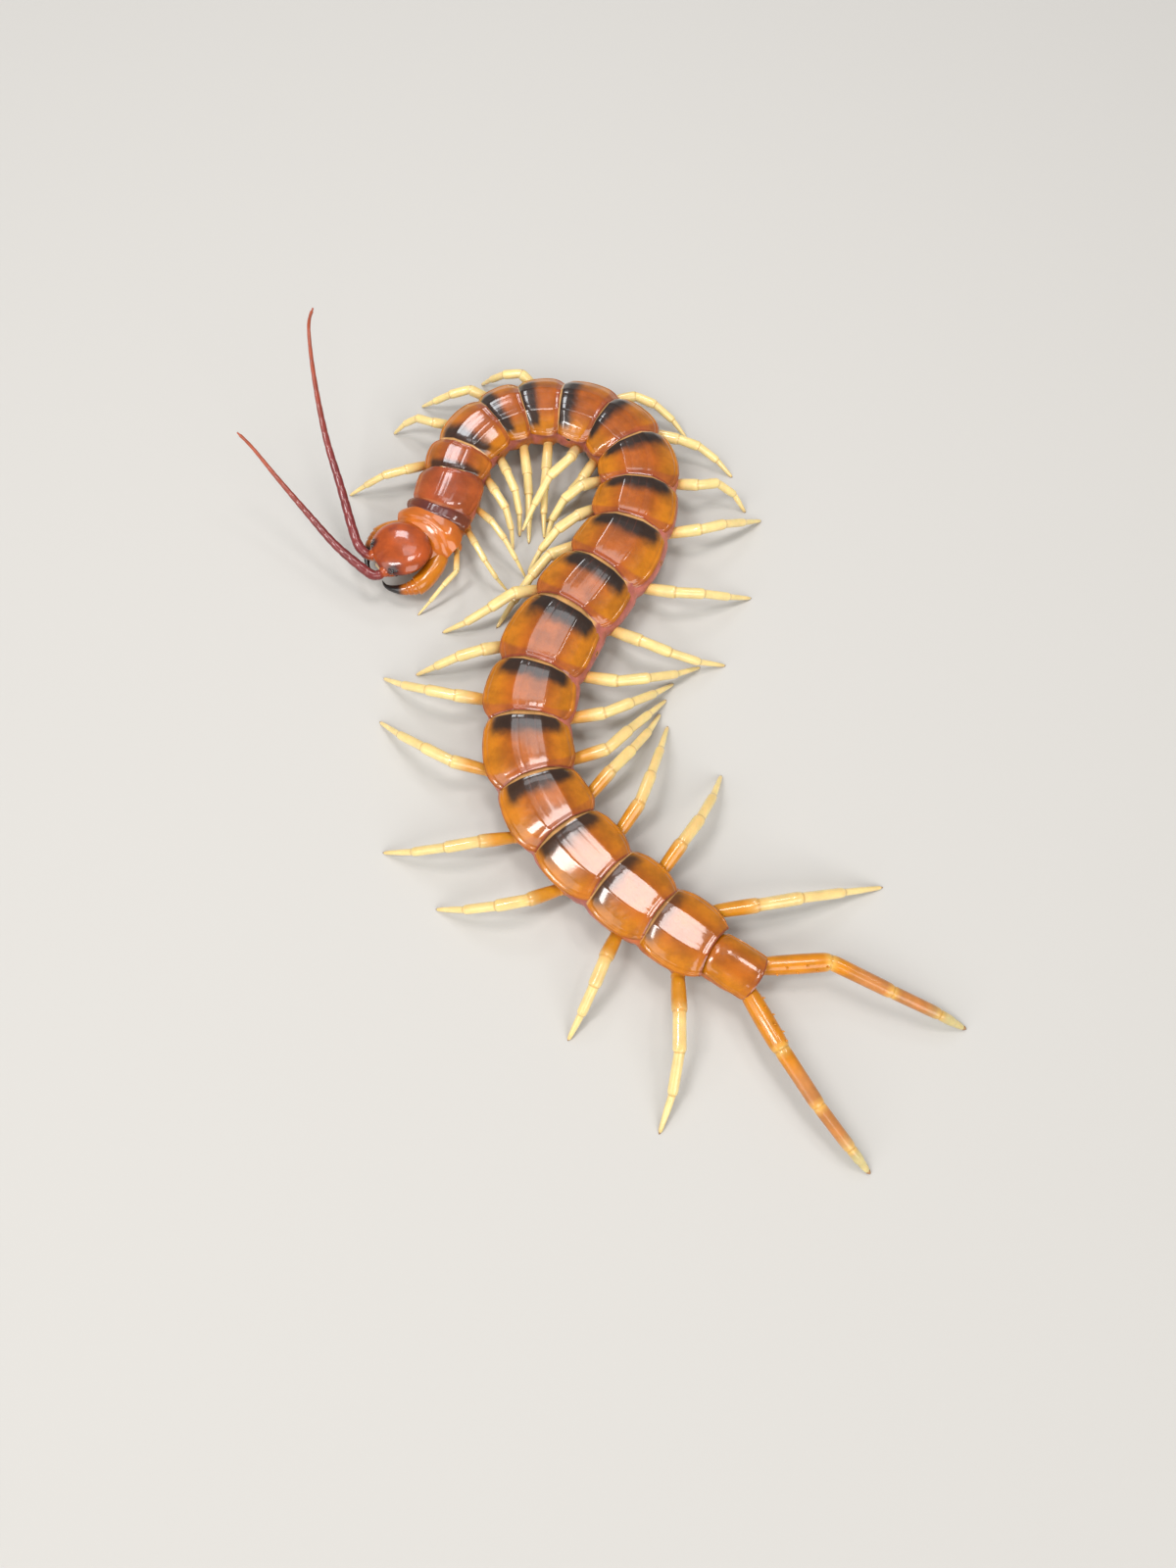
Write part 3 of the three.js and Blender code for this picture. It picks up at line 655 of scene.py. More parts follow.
# Back plates. Spreads and rises are shares of width and height from front to rear; the section goes sideways
plate = {
    "rows": 44, "columns": 84, "thick": 0.28, "ahead": 0.6, "firstAhead": 1.2, "overlap": 0.25,
    "arch": 0.75, "archStart": 0.35, "tailArch": 1.5, "packing": 0.06,
    "section": ((0, 1), (0.37, 0.992), (0.41, 0.975), (0.7, 0.865), (0.88, 0.765), (1, 0.655)),
    "sectionBlend": 0.018,
    "grooves": ((0.2, 0.018, 0.018), (0, 0.02, 0.012)), "rearGrooves": 0.3,  # place, width and depth
    "spreads": {
        "middle": ((0, 0.78), (0.08, 0.86), (0.2, 0.94), (0.4, 0.99), (0.6, 1.01), (0.76, 1), (0.87, 0.95),
                   (0.95, 0.87), (1, 0.79)),
        1: ((0, 0.55), (0.2, 0.74), (0.35, 0.88), (0.5, 0.97), (0.65, 1.01), (0.8, 0.98), (0.92, 0.88),
            (1, 0.76)),
        2: ((0, 0.93), (0.3, 0.98), (0.6, 1), (0.85, 0.98), (1, 0.93)),
        "rear": ((0, 0.8), (0.1, 0.9), (0.3, 0.99), (0.5, 1), (0.7, 0.965), (0.85, 0.88), (0.95, 0.78),
                 (1, 0.7)),
        21: ((0, 0.68), (0.15, 0.74), (0.5, 0.78), (0.9, 0.78), (0.97, 0.77), (1, 0.74)),
    },
    "rises": {
        "middle": ((0, 0.925), (0.06, 0.95), (0.13, 0.985), (0.22, 1), (0.8, 1), (1, 0.99)),
        1: ((0, 0.66), (0.3, 0.71), (0.45, 0.86), (0.6, 0.97), (1, 1)),
        21: ((0, 0.9), (0.1, 0.97), (0.2, 1), (0.4, 0.985), (1, 0.87)),
    },
    # strength and reach of the dark band, and the warmth of the colour, plate by plate
    "band": (0, 0, 0.15, 0.9, 0.95, 0.97, 0.97, 0.98, 0.98, 0.98, 0.98, 0.98, 0.98, 0.98, 0.97, 0.96, 0.95,
             0.93, 0.88, 0.72, 0),
    "reach": (0, 0, 0.2, 0.46, 0.5, 0.56, 0.58, 0.54, 0.5, 0.5, 0.5, 0.52, 0.54, 0.52, 0.52, 0.5, 0.5, 0.47,
              0.43, 0.38, 0),
    "tone": (0.3, -0.4, 0, 0.25, 0.4, 0.45, 0.5, 0.5, 0.5, 0.5, 0.55, 0.55, 0.6, 0.65, 0.7, 0.75, 0.8, 0.9,
             0.95, 1, 1),
}


def curveThrough(pairs, x, blend=0.03):
    knots = np.array(pairs)
    soft = np.interp(x, knots[:, 0], knots[:, 1])
    before = np.interp(x - blend, knots[:, 0], knots[:, 1])
    after = np.interp(x + blend, knots[:, 0], knots[:, 1])
    return (soft + before + after) / 3


def hollow(x, place, width, depth):
    return depth * np.exp(-((x - place) / width) ** 2)


def plateHeight(k, across, v):
    tall = body["segments"][k - 1][2] - body["belly"]
    rise = plate["rises"].get(k, plate["rises"]["middle"])
    a = np.abs(across)
    if 3 < k < segmentCount:
        share = curveThrough(plate["section"], a, plate["sectionBlend"])
    else:
        share = 1 - 0.19 * a ** 2 - 0.155 * a ** 5  # rounder at both ends of the body
    height = body["belly"] + curveThrough(rise, v) * tall - (1 - share) * tall
    if k > 1:
        deep = smooth(v / 0.15) * smooth((1 - v) / 0.06) * (plate["rearGrooves"] if k > 16 else 1)
        for place, width, depth in plate["grooves"]:
            height = height - hollow(a, place, width, depth) * deep
    sideRim = smooth((v - 0.08) / 0.12) * (0 if k == 1 else 0.5 if k < 4 else 1)
    height = height + (hollow(a, 0.955, 0.022, 0.14) - hollow(a, 0.905, 0.022, 0.10)) * sideRim
    height = height + hollow(v, 0.965, 0.018, 0.10) - hollow(v, 0.925, 0.018, 0.06)
    if k == 1:  # the furrow that curves round the collar
        furrow = 0.44 + 0.16 * np.cos(np.clip(a * 1.4, 0, 1.2) * 1.3)
        height = height - hollow(v, furrow, 0.03, 0.22) + hollow(v, furrow + 0.07, 0.04, 0.10)
    return height


# A grid two wide and two long, as shares across the piece (-1 to 1) and along it (0 to 1)
def newSheet(name, columns, rows):
    piece = newPrimitive(name, bpy.ops.mesh.primitive_grid_add, x_subdivisions=columns, y_subdivisions=rows,
                         size=2 * mm)
    flat = coordinates(piece.data) / mm
    return piece, flat[:, 0], (flat[:, 1] + 1) / 2


def buildPlate(k):
    length, width = body["segments"][k - 1][:2]
    piece, across, v = newSheet(f"plate{k:02d}", plate["columns"], plate["rows"])
    across = np.sin(across * pi / 2) * 0.35 + across * 0.65
    v = v + plate["packing"] * np.sin(2 * pi * v) * (v > 0.5)
    setShares(piece.data, across=across, along=v, band=plate["band"][k - 1], tone=plate["tone"][k - 1],
              reach=plate["reach"][k - 1])
    spread = plate["spreads"].get(k, plate["spreads"]["rear" if k > 17 else "middle"])
    half = curveThrough(spread, v) * width / 2
    heights = plateHeight(k, across, v)
    begin = -plate["ahead"] if k > 1 else -plate["firstAhead"]
    reach = length + plate["overlap"] - begin
    arch = -(1 - across ** 2) * plate["arch"] + plate["archStart"]
    if k == 1:
        arch = -arch * v
    if k == segmentCount:
        arch = arch + (1 - across ** 2) * plate["tailArch"] * smooth((v - 0.6) / 0.4)
    points = np.empty((len(v), 3))
    for i in range(len(v)):
        place = placeOn(k, begin + reach * v[i] + arch[i])
        points[i] = atPlace(place, 0, across[i] * half[i], heights[i])
    setCoordinates(piece.data, points)
    recalculateNormals(piece)
    applyModifier(piece, 'SOLIDIFY', thickness=plate["thick"] * mm, offset=-1)
    return finishPiece(piece, finishes["first" if k == 1 else "plate"], angle=50)


for k in range(1, segmentCount + 1):
    buildPlate(k)
print("back plates")

# Legs, the same poses as the solids: swing, knee, curl, reach, lift, place, foot, tucked
legPoses = {
    "left": [
        (-60, -41, -7, 17.4, -1.5, 0.64), (-50, 13, 14, 17.6, 0, 0.7), (-42, 6, 0, 19.4, 0, 0.5),
        (-54, 15, -14, 18, 0, 0.52), (-37, 10, -12, 19, 0, 0.52), (-16, -3, -2, 20.8, -3.6, 0.65),
        (-4, -1, 3, 20.4, -3, 0.68), (14, -40, 14, 26, 2.5, 0.7, 3.4), (26, -12, -6, 16, -2.5, 0.66),
        (32, -1, 15, 19.4, 0, 0.62), (58, -12, 9, 21, 0, 0.55), (60, 21, 1, 24.5, -2, 0.58),
        (60, 6, -13, 23, 0, 0.8), (52, -18, -4, 20.6, 0, 0.74), (12, -20, -9, 24, 0, 0.63),
        (-19, -23, -6, 26.4, 0, 0.67), (-16, -7, -8, 26, 0, 0.66), (-19, -17, -9, 24.5, 0, 0.6),
        (15, 0, -3, 21.4, 0, 0.67), (34, -1, -9, 27.7, 0, 0.76),
    ],
    "right": [
        (-30, -127, -4, 12.5, 0, 0.62, 0, True), (-76, -78, -4, 12.5, 0, 0.82, 0, True),
        (-78, -80, 0, 14, 0, 0.6, 0, True), (-57, 31, 2, 20.5, 0, 0.52), (-58, 48, -16, 17.3, 0, 0.56),
        (-60, -12, 15, 18.9, 0, 0.52), (-58, -20, 12, 17, 0, 0.52), (58, 27, 11, 20.1, -2, 0.76),
        (58, -8, 10, 19.5, -2, 0.78), (27, -43, 28, 19, 0, 0.78), (-10, -28, -5, 23.3, 0, 0.8),
        (-12, -25, -7, 24.5, 0, 0.8), (0, -15, -14, 25.7, 0, 0.8), (-2, -31, -10, 26.4, 0, 0.8),
        (-6, -28, -7, 24.8, 0, 0.8), (3, -37, -2, 25.9, 0, 0.74), (-16, -2, -7, 25.5, 0, 0.67),
        (-10, -15, -2, 27.4, 0, 0.6), (-1, -2, -7, 25.8, 0, 0.6), (54, -10, -1, 34, 0, 0.62),
    ],
}
leg = {
    "heights": (4.2, 7.0, 6.0, 3.2, 0), "tuckedHeights": (4.2, 1.3, 1.1, 1.2, 0), "liftShares": (1, 0.8, 0.4),
    "shares": (0.31, 0.345, 0.345), "sides": 16, "corner": 0.09,
    "radii": ((1, 0.60), (2, 0.72), (3, 0.76), (4, 0.98), (8, 1.12), (12, 1.22), (17, 1.24), (20, 1.36)),
    "profile": [  # part and share along it, thickness share
        (0.0, 0.62), (0.03, 0.86), (0.07, 0.94), (0.11, 0.92), (0.135, 0.86), (0.16, 0.88), (0.24, 0.94),
        (0.5, 1.0), (0.8, 1.04), (0.93, 1.03), (0.975, 0.99), (1.0, 0.90), (1.03, 0.86), (1.1, 0.86),
        (1.35, 0.88), (1.75, 0.90), (1.92, 0.90), (1.97, 0.86), (2.0, 0.75), (2.03, 0.71), (2.1, 0.71),
        (2.35, 0.71), (2.75, 0.71), (2.93, 0.70), (2.975, 0.65), (3.0, 0.54), (3.03, 0.50), (3.12, 0.49),
        (3.3, 0.47), (3.45, 0.44), (3.49, 0.42), (3.51, 0.40), (3.7, 0.36), (3.86, 0.30), (3.92, 0.25),
        (3.95, 0.16),
    ],
}


def wayOut(place, side, swing):
    back = towardsTail(place)
    out = np.array([-back[1], back[0], 0.0]) * -side
    return out * cos(radians(swing)) + back * sin(radians(swing))


def socketOf(k, side, pose):
    length, width = body["segments"][k - 1][:2]
    place = placeOn(k, length * pose[5])
    way = wayOut(place, side, pose[0] * 0.5)
    way[2] = -0.2 if len(pose) > 7 else 0.25
    end = atPlace(place, 0, side * width * 0.46, leg["heights"][0])
    return {"end": end, "way": unit(way), "radius": (0.095 if k > 3 else 0.08) * width, "place": place}


def legJoints(start, place, side, pose, shares, heights):
    turns = (pose[0], pose[1], pose[2], pose[2])
    foot = pose[6] if len(pose) > 6 else 0
    joints = [start]
    swing = 0
    for i in range(4):
        swing += turns[i]
        last = joints[-1]
        level = max(0, heights[i + 1] + pose[4] * leg["liftShares"][i]) if i < 3 else foot
        drop = level - last[2]
        run = max((shares[i] * pose[3]) ** 2 - drop * drop, 1) ** 0.5
        joint = last + wayOut(place, side, swing) * run
        joint[2] = level
        joints.append(joint)
    return joints


# A path through the joints with its corners rounded
def pathThrough(joints, corner):
    def at(t):
        t = min(max(t, 0.0), len(joints) - 1.0)
        near = int(round(t))
        away = t - near
        if 0 < near < len(joints) - 1 and abs(away) < corner:
            before = joints[near] + (joints[near - 1] - joints[near]) * corner
            after = joints[near] + (joints[near + 1] - joints[near]) * corner
            f = (away + corner) / (2 * corner)
            return before * (1 - f) ** 2 + joints[near] * 2 * f * (1 - f) + after * f ** 2
        i = min(int(t), len(joints) - 2)
        return joints[i] + (joints[i + 1] - joints[i]) * (t - i)
    return at


legBlank = turnedBlank("legBlank", leg["profile"], leg["sides"])
clawBlank = turnedBlank("clawBlank", [(0, 1), (0.3, 0.95), (0.6, 0.6), (0.85, 0.28), (1, 0.06)], 10)


def buildTipClaw(name, base, tip, hump, radius):
    piece = copyOf(clawBlank, name + "Claw")
    hook = splineThrough([base, base * 0.5 + tip * 0.5 + np.array([0, 0, hump]), tip])
    layAlong(piece.data, hook, lambda t: slopeOf(hook, t), lambda t: radius)
    finishPiece(piece, finishes["tip"])


def buildLeg(name, side, k, pose):
    socket = socketOf(k, side, pose)
    start = socket["end"] - socket["way"] * 0.5
    root = 0.32 - 0.07 * (k - 1) / 19
    shares = [root] + [(1 - root) * share for share in leg["shares"]]
    heights = leg["tuckedHeights"] if len(pose) > 7 else leg["heights"]
    outside = socket["end"] + socket["way"] * body["gap"]
    joints = legJoints(outside, socket["place"], side, pose, shares, heights)
    tip = joints[-1].copy()
    joints[0] = start
    path = pathThrough(joints, leg["corner"])
    radius = readCurve(leg["radii"], k)
    piece = copyOf(legBlank, name)
    layAlong(piece.data, path, lambda t: path(t + 0.03) - path(t - 0.03), lambda t: radius)
    setShares(piece.data, tone=0.2 + 0.8 * smooth((k - 12) / 7) + 0.3 * (k < 5))
    applyModifier(piece, 'SUBSURF', levels=1, render_levels=1)
    node = f"leg_{'left' if side > 0 else 'right'}_{k:02d}"
    finishPiece(piece, finishes["leg"], [node])
    buildTipClaw(name, path(3.91), tip + np.array([0, 0, 0.03]), 0.045, radius * 0.19)
    return socket


sockets = []
for sideName, side in (("left", 1), ("right", -1)):
    for k, pose in enumerate(legPoses[sideName], 1):
        sockets.append((k, side, buildLeg(f"leg{sideName.title()}{k:02d}", side, k, pose)))
print("legs")

# The last pair, thick and spined, trailing behind
lastLegs = {
    "poses": {"left": (58, 5, 6, 36.7, 0, 1), "right": (56, 29, -3, 39.3, 0, 1)},
    "heights": (5.2, 6.0, 5.2, 3.4, 0), "shares": (0.31, 0.29, 0.23, 0.17), "thickness": 3.6, "sides": 28,
    "profile": [
        (-0.04, 0.55), (0.0, 0.80), (0.03, 0.88), (0.06, 0.86), (0.08, 0.84), (0.11, 0.90), (0.25, 0.95),
        (0.6, 0.97), (0.85, 0.94), (0.94, 0.90), (0.975, 0.85), (0.99, 0.77), (1.01, 0.74), (1.04, 0.78),
        (1.12, 0.79), (1.4, 0.75), (1.75, 0.74), (1.92, 0.73), (1.97, 0.69), (1.99, 0.63), (2.01, 0.60),
        (2.04, 0.64), (2.1, 0.65), (2.4, 0.63), (2.75, 0.62), (2.92, 0.61), (2.97, 0.57), (2.99, 0.51),
        (3.01, 0.48), (3.04, 0.51), (3.1, 0.53), (3.3, 0.52), (3.46, 0.49), (3.49, 0.44), (3.51, 0.41),
        (3.54, 0.41), (3.7, 0.36), (3.84, 0.29), (3.89, 0.22),
    ],
    "spines": [  # share along the first article, inwards and upwards
        (0.22, 1, 0.3), (0.36, 0.6, 1), (0.50, 1, 0.4), (0.64, 0.5, 1), (0.78, 1, 0.5), (0.92, 0.8, 0.9)],
}
lastBlank = turnedBlank("lastBlank", lastLegs["profile"], lastLegs["sides"])


def buildLastLeg(sideName, side):
    length = body["segments"][-1][0]
    place = placeOn(segmentCount, length + body["gap"] / 2)
    pose = lastLegs["poses"][sideName]
    start = atPlace(place, 0, side * 2.3, lastLegs["heights"][0])
    joints = legJoints(start, place, side, pose, lastLegs["shares"], lastLegs["heights"])
    inside = joints[0] - (joints[1] - joints[0]) * 0.08
    path = pathThrough([inside] + joints, 0.08)
    radius = lastLegs["thickness"] / 2
    piece = copyOf(lastBlank, f"lastLeg{sideName.title()}")
    layAlong(piece.data, lambda t: path(t + 1), lambda t: path(t + 1.03) - path(t + 0.97), lambda t: radius,
             flatness=0.92)
    applyModifier(piece, 'SUBSURF', levels=1, render_levels=1)
    spines = []
    first = unit(joints[1] - joints[0])
    inward = np.array([first[1], -first[0], 0]) * -side
    for i, (share, inner, over) in enumerate(lastLegs["spines"]):
        out = unit(inward * inner + np.array([0, 0, over]))
        root = joints[0] + (joints[1] - joints[0]) * share + out * radius * 0.88
        point = root + out * 0.45 + first * 0.25
        thorn = copyOf(clawBlank, f"thorn{i}")
        line = splineThrough([root, root * 0.5 + point * 0.5 + out * 0.06, point])
        layAlong(thorn.data, line, lambda t: slopeOf(line, t), lambda t: 0.2)
        setShares(thorn.data, along=0.5)
        spines.append(thorn)
    piece = joinPieces(piece.name, [piece] + spines)
    finishPiece(piece, finishes["terminal"], [f"terminal_leg_{sideName}"])
    tip = joints[-1] + np.array([0, 0, 0.05])
    buildTipClaw(piece.name, path(4.86), tip, 0.15, radius * 0.26)


buildLastLeg("left", 1)
buildLastLeg("right", -1)
print("last legs")

# One soft skin under the plates, with a lobe at every leg root
trunk = {
    "rings": 250, "around": 56, "width": 0.96, "voxel": 0.36,
    # from here by the distance from the neck, and for the tail from the end
    "rightSwell": ((0, 0), (55, 0), (75, 0.7), (95, 1.1), (125, 0.9), (145, 0.2), (160, 0)),
    "neckWidth": ((-0.8, 0.5), (1, 0.6), (4, 0.85), (6.9, 1)),
    "neckDrop": ((-0.8, 1.6), (1, 1.6), (4, 1), (6.9, 0)),
    "tailWidth": ((-10.5, 1), (-7.5, 0.76), (0, 0.72), (1.2, 0.5)), "tailDrop": ((-5.5, 0), (1.2, 1.7)),
    "foldLift": 0.25, "foldWidth": 0.07, "foldLength": 0.7, "bulge": 0.05,
    "outline": [(0, 0.0), (0.3, 0.0), (0.58, 0.01), (0.78, 0.08), (0.9, 0.22), (0.94, 0.38), (0.93, 0.5),
                (0.88, 0.6), (0.76, 0.72), (0.56, 0.83), (0.3, 0.9), (0, 0.915)],
    "tailLobes": [(4.4, 2.7, 4.5, (4.2, 1.5, 1.9)), (7.6, 3.2, 4.4, (2.2, 0.9, 1.2)),
                  (8.6, 3.75, 5.4, (1.5, 0.45, 0.45))],
}
ends = np.cumsum([0] + [segment[0] for segment in body["segments"]])
centres = (ends[1:] + ends[:-1]) / 2


def buildTube():
    rings = trunk["rings"]
    step = 0.01
    piece = turnedBlank("bodySkin", [(i * step, 1) for i in range(rings)], trunk["around"])
    flat = coordinates(piece.data)
    ring = (flat[:, 0] / step).round().astype(int)
    angle = np.arctan2(flat[:, 1], -flat[:, 2])
    outline = splineThrough(trunk["outline"])
    widths, crowns = zip(*[segment[1:3] for segment in body["segments"]])
    points = np.empty_like(flat)
    for i in range(rings):
        distance = -0.8 + (ends[-1] + 2.0) * i / (rings - 1)
        k = int(np.clip(np.searchsorted(ends, distance, side="right"), 1, segmentCount))
        length = body["segments"][k - 1][0]
        place = placeOn(k, distance - ends[k - 1])
        share = (distance - ends[k - 1]) / length
        fold = exp(-((min(share, 1 - share) * length) / trunk["foldLength"]) ** 2)
        width = np.interp(distance, centres, widths) * trunk["width"] / 2
        width *= readCurve(trunk["neckWidth"], distance) * readCurve(trunk["tailWidth"], distance - ends[-1])
        width *= 1 + trunk["bulge"] * sin(pi * np.clip(share, 0, 1)) - trunk["foldWidth"] * fold
        drop = readCurve(trunk["neckDrop"], distance) + readCurve(trunk["tailDrop"], distance - ends[-1])
        low = body["belly"] + trunk["foldLift"] * fold
        high = np.interp(distance, centres, crowns) - drop
        swell = readCurve(trunk["rightSwell"], distance)
        for index in np.nonzero(ring == i)[0]:
            across, up = outline(abs(angle[index]) / pi)
            left = across * width if angle[index] > 0 else -across * (width + swell)
            points[index] = atPlace(place, 0, left, low + up * (high - low))
    setCoordinates(piece.data, points)
    return piece


def buildSkin():
    tube = buildTube()
    lobeBlank = newBall("lobeBlank", 20, 12)
    ball = coordinates(lobeBlank.data)
    lobes = []
    for k, side, socket in sockets:
        lobe = copyOf(lobeBlank, f"lobe{k}")
        way = socket["way"]
        level = unit(np.array([way[1], -way[0], 0]))
        turn = np.array([way * 1.25, level * 1.15, np.cross(level, way) * 1.15])
        setCoordinates(lobe.data, socket["end"] + (ball @ turn - way) * socket["radius"])
        lobes.append(lobe)
    for side in (1, -1):
        for distance, across, up, size in trunk["tailLobes"]:
            lobe = copyOf(lobeBlank, "tailLobe")
            place = placeOn(segmentCount, distance)
            points = ball * size * (-1, 1, 1) + (0, side * across, up)
            setCoordinates(lobe.data, np.array([atPlace(place, *point) for point in points]))
            lobes.append(lobe)
    dropBlank(lobeBlank)
    piece = joinPieces("bodySkin", [tube] + lobes)
    applyModifier(piece, 'REMESH', mode='VOXEL', voxel_size=trunk["voxel"] * mm, use_smooth_shade=True)
    applyModifier(piece, 'SMOOTH', factor=0.5, iterations=3)
    at = coordinates(piece.data) / mm
    near = np.zeros(len(at))
    for k, side, socket in sockets:
        away = np.linalg.norm(at - socket["end"] + socket["way"] * 0.8, axis=1)
        near = np.maximum(near, smooth((2.9 - away) / 1.0))
    tailPlace = placeOn(19, 5)
    pastTail = (at - atPlace(tailPlace, 0, 0, 5)) @ towardsTail(tailPlace)
    fromHead = np.linalg.norm(at - atPlace(placeOn(1, 6), 0, 0, 5), axis=1)
    warm = np.maximum(smooth(pastTail / 9), smooth((9 - fromHead) / 4))
    setShares(piece.data, socket=near, under=smooth((3.2 - at[:, 2]) / 0.8),
              back=smooth((at[:, 2] - 8.4) / 0.6), warm=warm)
    nodes = ["trunk_01"] + [f"trunk_{k:02d}_{k + 1:02d}" for k in range(2, 20, 2)] + ["trunk_20", "trunk_21"]
    return finishPiece(piece, finishes["skin"], nodes)


skin = buildSkin()
print("soft skin")

# Breathing holes: a raised ring above the legs of some segments, with a black slit in it as painted shade for
# the dark inside of the hole
spiracle = {
    "segments": (3, 5, 8, 10, 12, 14, 16, 18, 20), "place": 0.42, "up": 6.6,
    "ring": (0.52, 0.13), "ringSizes": (1, 0.62, 1), "slitSizes": (0.42, 0.24, 0.10),
}


def buildSpiracles():
    ring = newPrimitive("ringBlank", bpy.ops.mesh.primitive_torus_add, major_radius=spiracle["ring"][0],
                        minor_radius=spiracle["ring"][1], major_segments=24, minor_segments=8)
    # The slit is painted shade: a black gloss body that stands in for the shade inside the hole
    slitShade = newBall("slitShadeBlank", 16, 8)
    rings, slitShades = [], []
    for k in spiracle["segments"]:
        for side in (1, -1):
            place = placeOn(k, body["segments"][k - 1][0] * spiracle["place"])
            outside = Vector(atPlace(place, 0, side * 20, spiracle["up"])) * mm
            inside = Vector(atPlace(place, 0, 0, spiracle["up"])) * mm
            hit, spot, normal, face = skin.ray_cast(outside, (inside - outside).normalized())
            lengthways = Vector(towardsTail(place))
            lengthways = (lengthways - normal * lengthways.dot(normal)).normalized()
            turn = np.array([lengthways, normal.cross(lengthways), normal])
            for blank, pieces, sizes in ((ring, rings, "ringSizes"), (slitShade, slitShades, "slitSizes")):
                piece = copyOf(blank, f"{blank.name}{k}{side}")
                flat = coordinates(piece.data) * spiracle[sizes]
                setCoordinates(piece.data, flat @ turn + np.array(spot) / mm)
                pieces.append(piece)
    dropBlank(ring)
    dropBlank(slitShade)
    finishPiece(joinPieces("spiracleRings", rings), finishes["ring"])
    # The slits take the black eye gloss as painted shade for the inside of the holes
    finishPiece(joinPieces("spiracleSlitShades", slitShades), finishes["black"])


buildSpiracles()
print("spiracles")

# Head: a round plate over a fleshy capsule, in the head's own directions
headPlate = {
    "half": (5.72, 6.05), "level": 8.25, "segments": 64, "rings": 32, "notch": 0.035,
    "dome": ((0, 1.30), (0.3, 1.27), (0.55, 1.14), (0.73, 0.90), (0.87, 0.46), (0.95, 0.02), (0.985, -0.34),
             (1.0, -0.58)),
    "frontSlope": 0.35, "frontFurrow": 0.10, "underside": 0.45,
}


def buildHeadPlate():
    piece = newBall("headPlate", headPlate["segments"], headPlate["rings"])
    ball = coordinates(piece.data)
    turn = np.arctan2(ball[:, 1], ball[:, 0])
    polar = np.arccos(np.clip(ball[:, 2], -1, 1)) / (pi / 2)
    upper = polar <= 1
    r = np.where(upper, polar, 2 - polar)
    r = np.sin(r * pi / 2) * 0.5 + r * 0.5
    notch = 1 - headPlate["notch"] * np.exp(-(turn / 0.2) ** 2)
    x = np.cos(turn) * r * headPlate["half"][0] * notch
    y = np.sin(turn) * r * headPlate["half"][1]
    dome = curveThrough(headPlate["dome"], r) - headPlate["frontSlope"] * smooth((x - 0.3) / 4.6)
    dome = dome - hollow(y, 0, 0.25, headPlate["frontFurrow"]) * smooth((x - 1.0) / 4.0)
    rim = hollow(r, 0.95, 0.02, 0.06) - hollow(r, 0.9, 0.03, 0.05)
    z = headPlate["level"] + np.where(upper, dome + rim, dome - headPlate["underside"] * (1 - r ** 6))
    setCoordinates(piece.data, allInHead(np.column_stack([x, y, z])))
    setShares(piece.data, pale=0, dusk=0.12 * smooth((x - 1.5) / 3.0) + 0.1 * smooth((r - 0.8) / 0.2),
              eyeField=np.exp(-(((x - 3.95) ** 2 + (np.abs(y) - 3.65) ** 2) / 1.3) ** 2))
    recalculateNormals(piece)
    return finishPiece(piece, finishes["head"])


buildHeadPlate()

flesh = {  # x, y, z and the three half sizes
    "balls": [
        (0.0, 0, 6.9, 5.0, 5.45, 1.7), (3.0, 0, 6.8, 2.4, 3.9, 1.4), (4.7, 2.1, 6.85, 1.35, 1.3, 1.15),
        (4.7, -2.0, 6.95, 1.35, 1.3, 1.15), (4.5, 0, 5.6, 1.0, 1.6, 0.7), (-3.2, 0, 6.2, 3.0, 4.2, 2.0),
        (2.9, 3.2, 7.4, 1.7, 1.4, 0.8), (2.9, -3.2, 7.4, 1.7, 1.4, 0.8),
    ],
    "palps": [(1.8, 2.3, 5.3), (3.2, 2.4, 4.95), (4.5, 1.8, 4.85), (5.3, 0.8, 4.75)],
    "palpRadii": (0.6, 0.62, 0.55, 0.45, 0.25), "lip": (4.9, 0, 5.6), "voxel": 0.16,
}


ballBlank = newBall("ballBlank", 32, 20)


def ballAt(name, x, y, z, rx, ry, rz):
    piece = copyOf(ballBlank, name)
    setCoordinates(piece.data, allInHead(coordinates(piece.data) * (rx, ry, rz) + (x, y, z)))
    return piece


def tubeInHead(name, points, radii, sides=16, rings=24):
    piece = turnedBlank(name, [(i / rings, 1) for i in range(rings + 1)], sides)
    curve = splineThrough(allInHead(points))
    stops = np.linspace(0, 1, len(radii))
    layAlong(piece.data, curve, lambda t: slopeOf(curve, t), lambda t: float(np.interp(t, stops, radii)))
    return piece


def buildCapsule():
    parts = [ballAt(f"flesh{i}", *ball) for i, ball in enumerate(flesh["balls"])]
    for side in (1, -1):
        palp = [(x, y * side, z) for x, y, z in flesh["palps"]]
        parts.append(tubeInHead(f"palp{side}", palp, flesh["palpRadii"]))
    piece = joinPieces("headFlesh", parts)
    applyModifier(piece, 'REMESH', mode='VOXEL', voxel_size=flesh["voxel"] * mm, use_smooth_shade=True)
    applyModifier(piece, 'SMOOTH', factor=0.5, iterations=4)
    fromLip = np.linalg.norm(coordinates(piece.data) / mm - inHead(flesh["lip"]), axis=1)
    setShares(piece.data, pale=smooth((2.1 - fromLip) / 0.8))
    return finishPiece(piece, finishes["head"], ["head"])


buildCapsule()
eyes = [  # x, y, z and radius
    (3.85, 3.7, 8.11, 0.25), (4.3, 3.15, 8.13, 0.25), (3.35, 4.15, 8.14, 0.24), (4.15, 3.85, 7.90, 0.22),
]
for side in (1, -1):
    for i, (x, y, z, radius) in enumerate(eyes):
        eye = ballAt(f"eye{i}{side}", x, y * side, z, radius, radius, radius)
        finishPiece(eye, finishes["black"])
print("head")

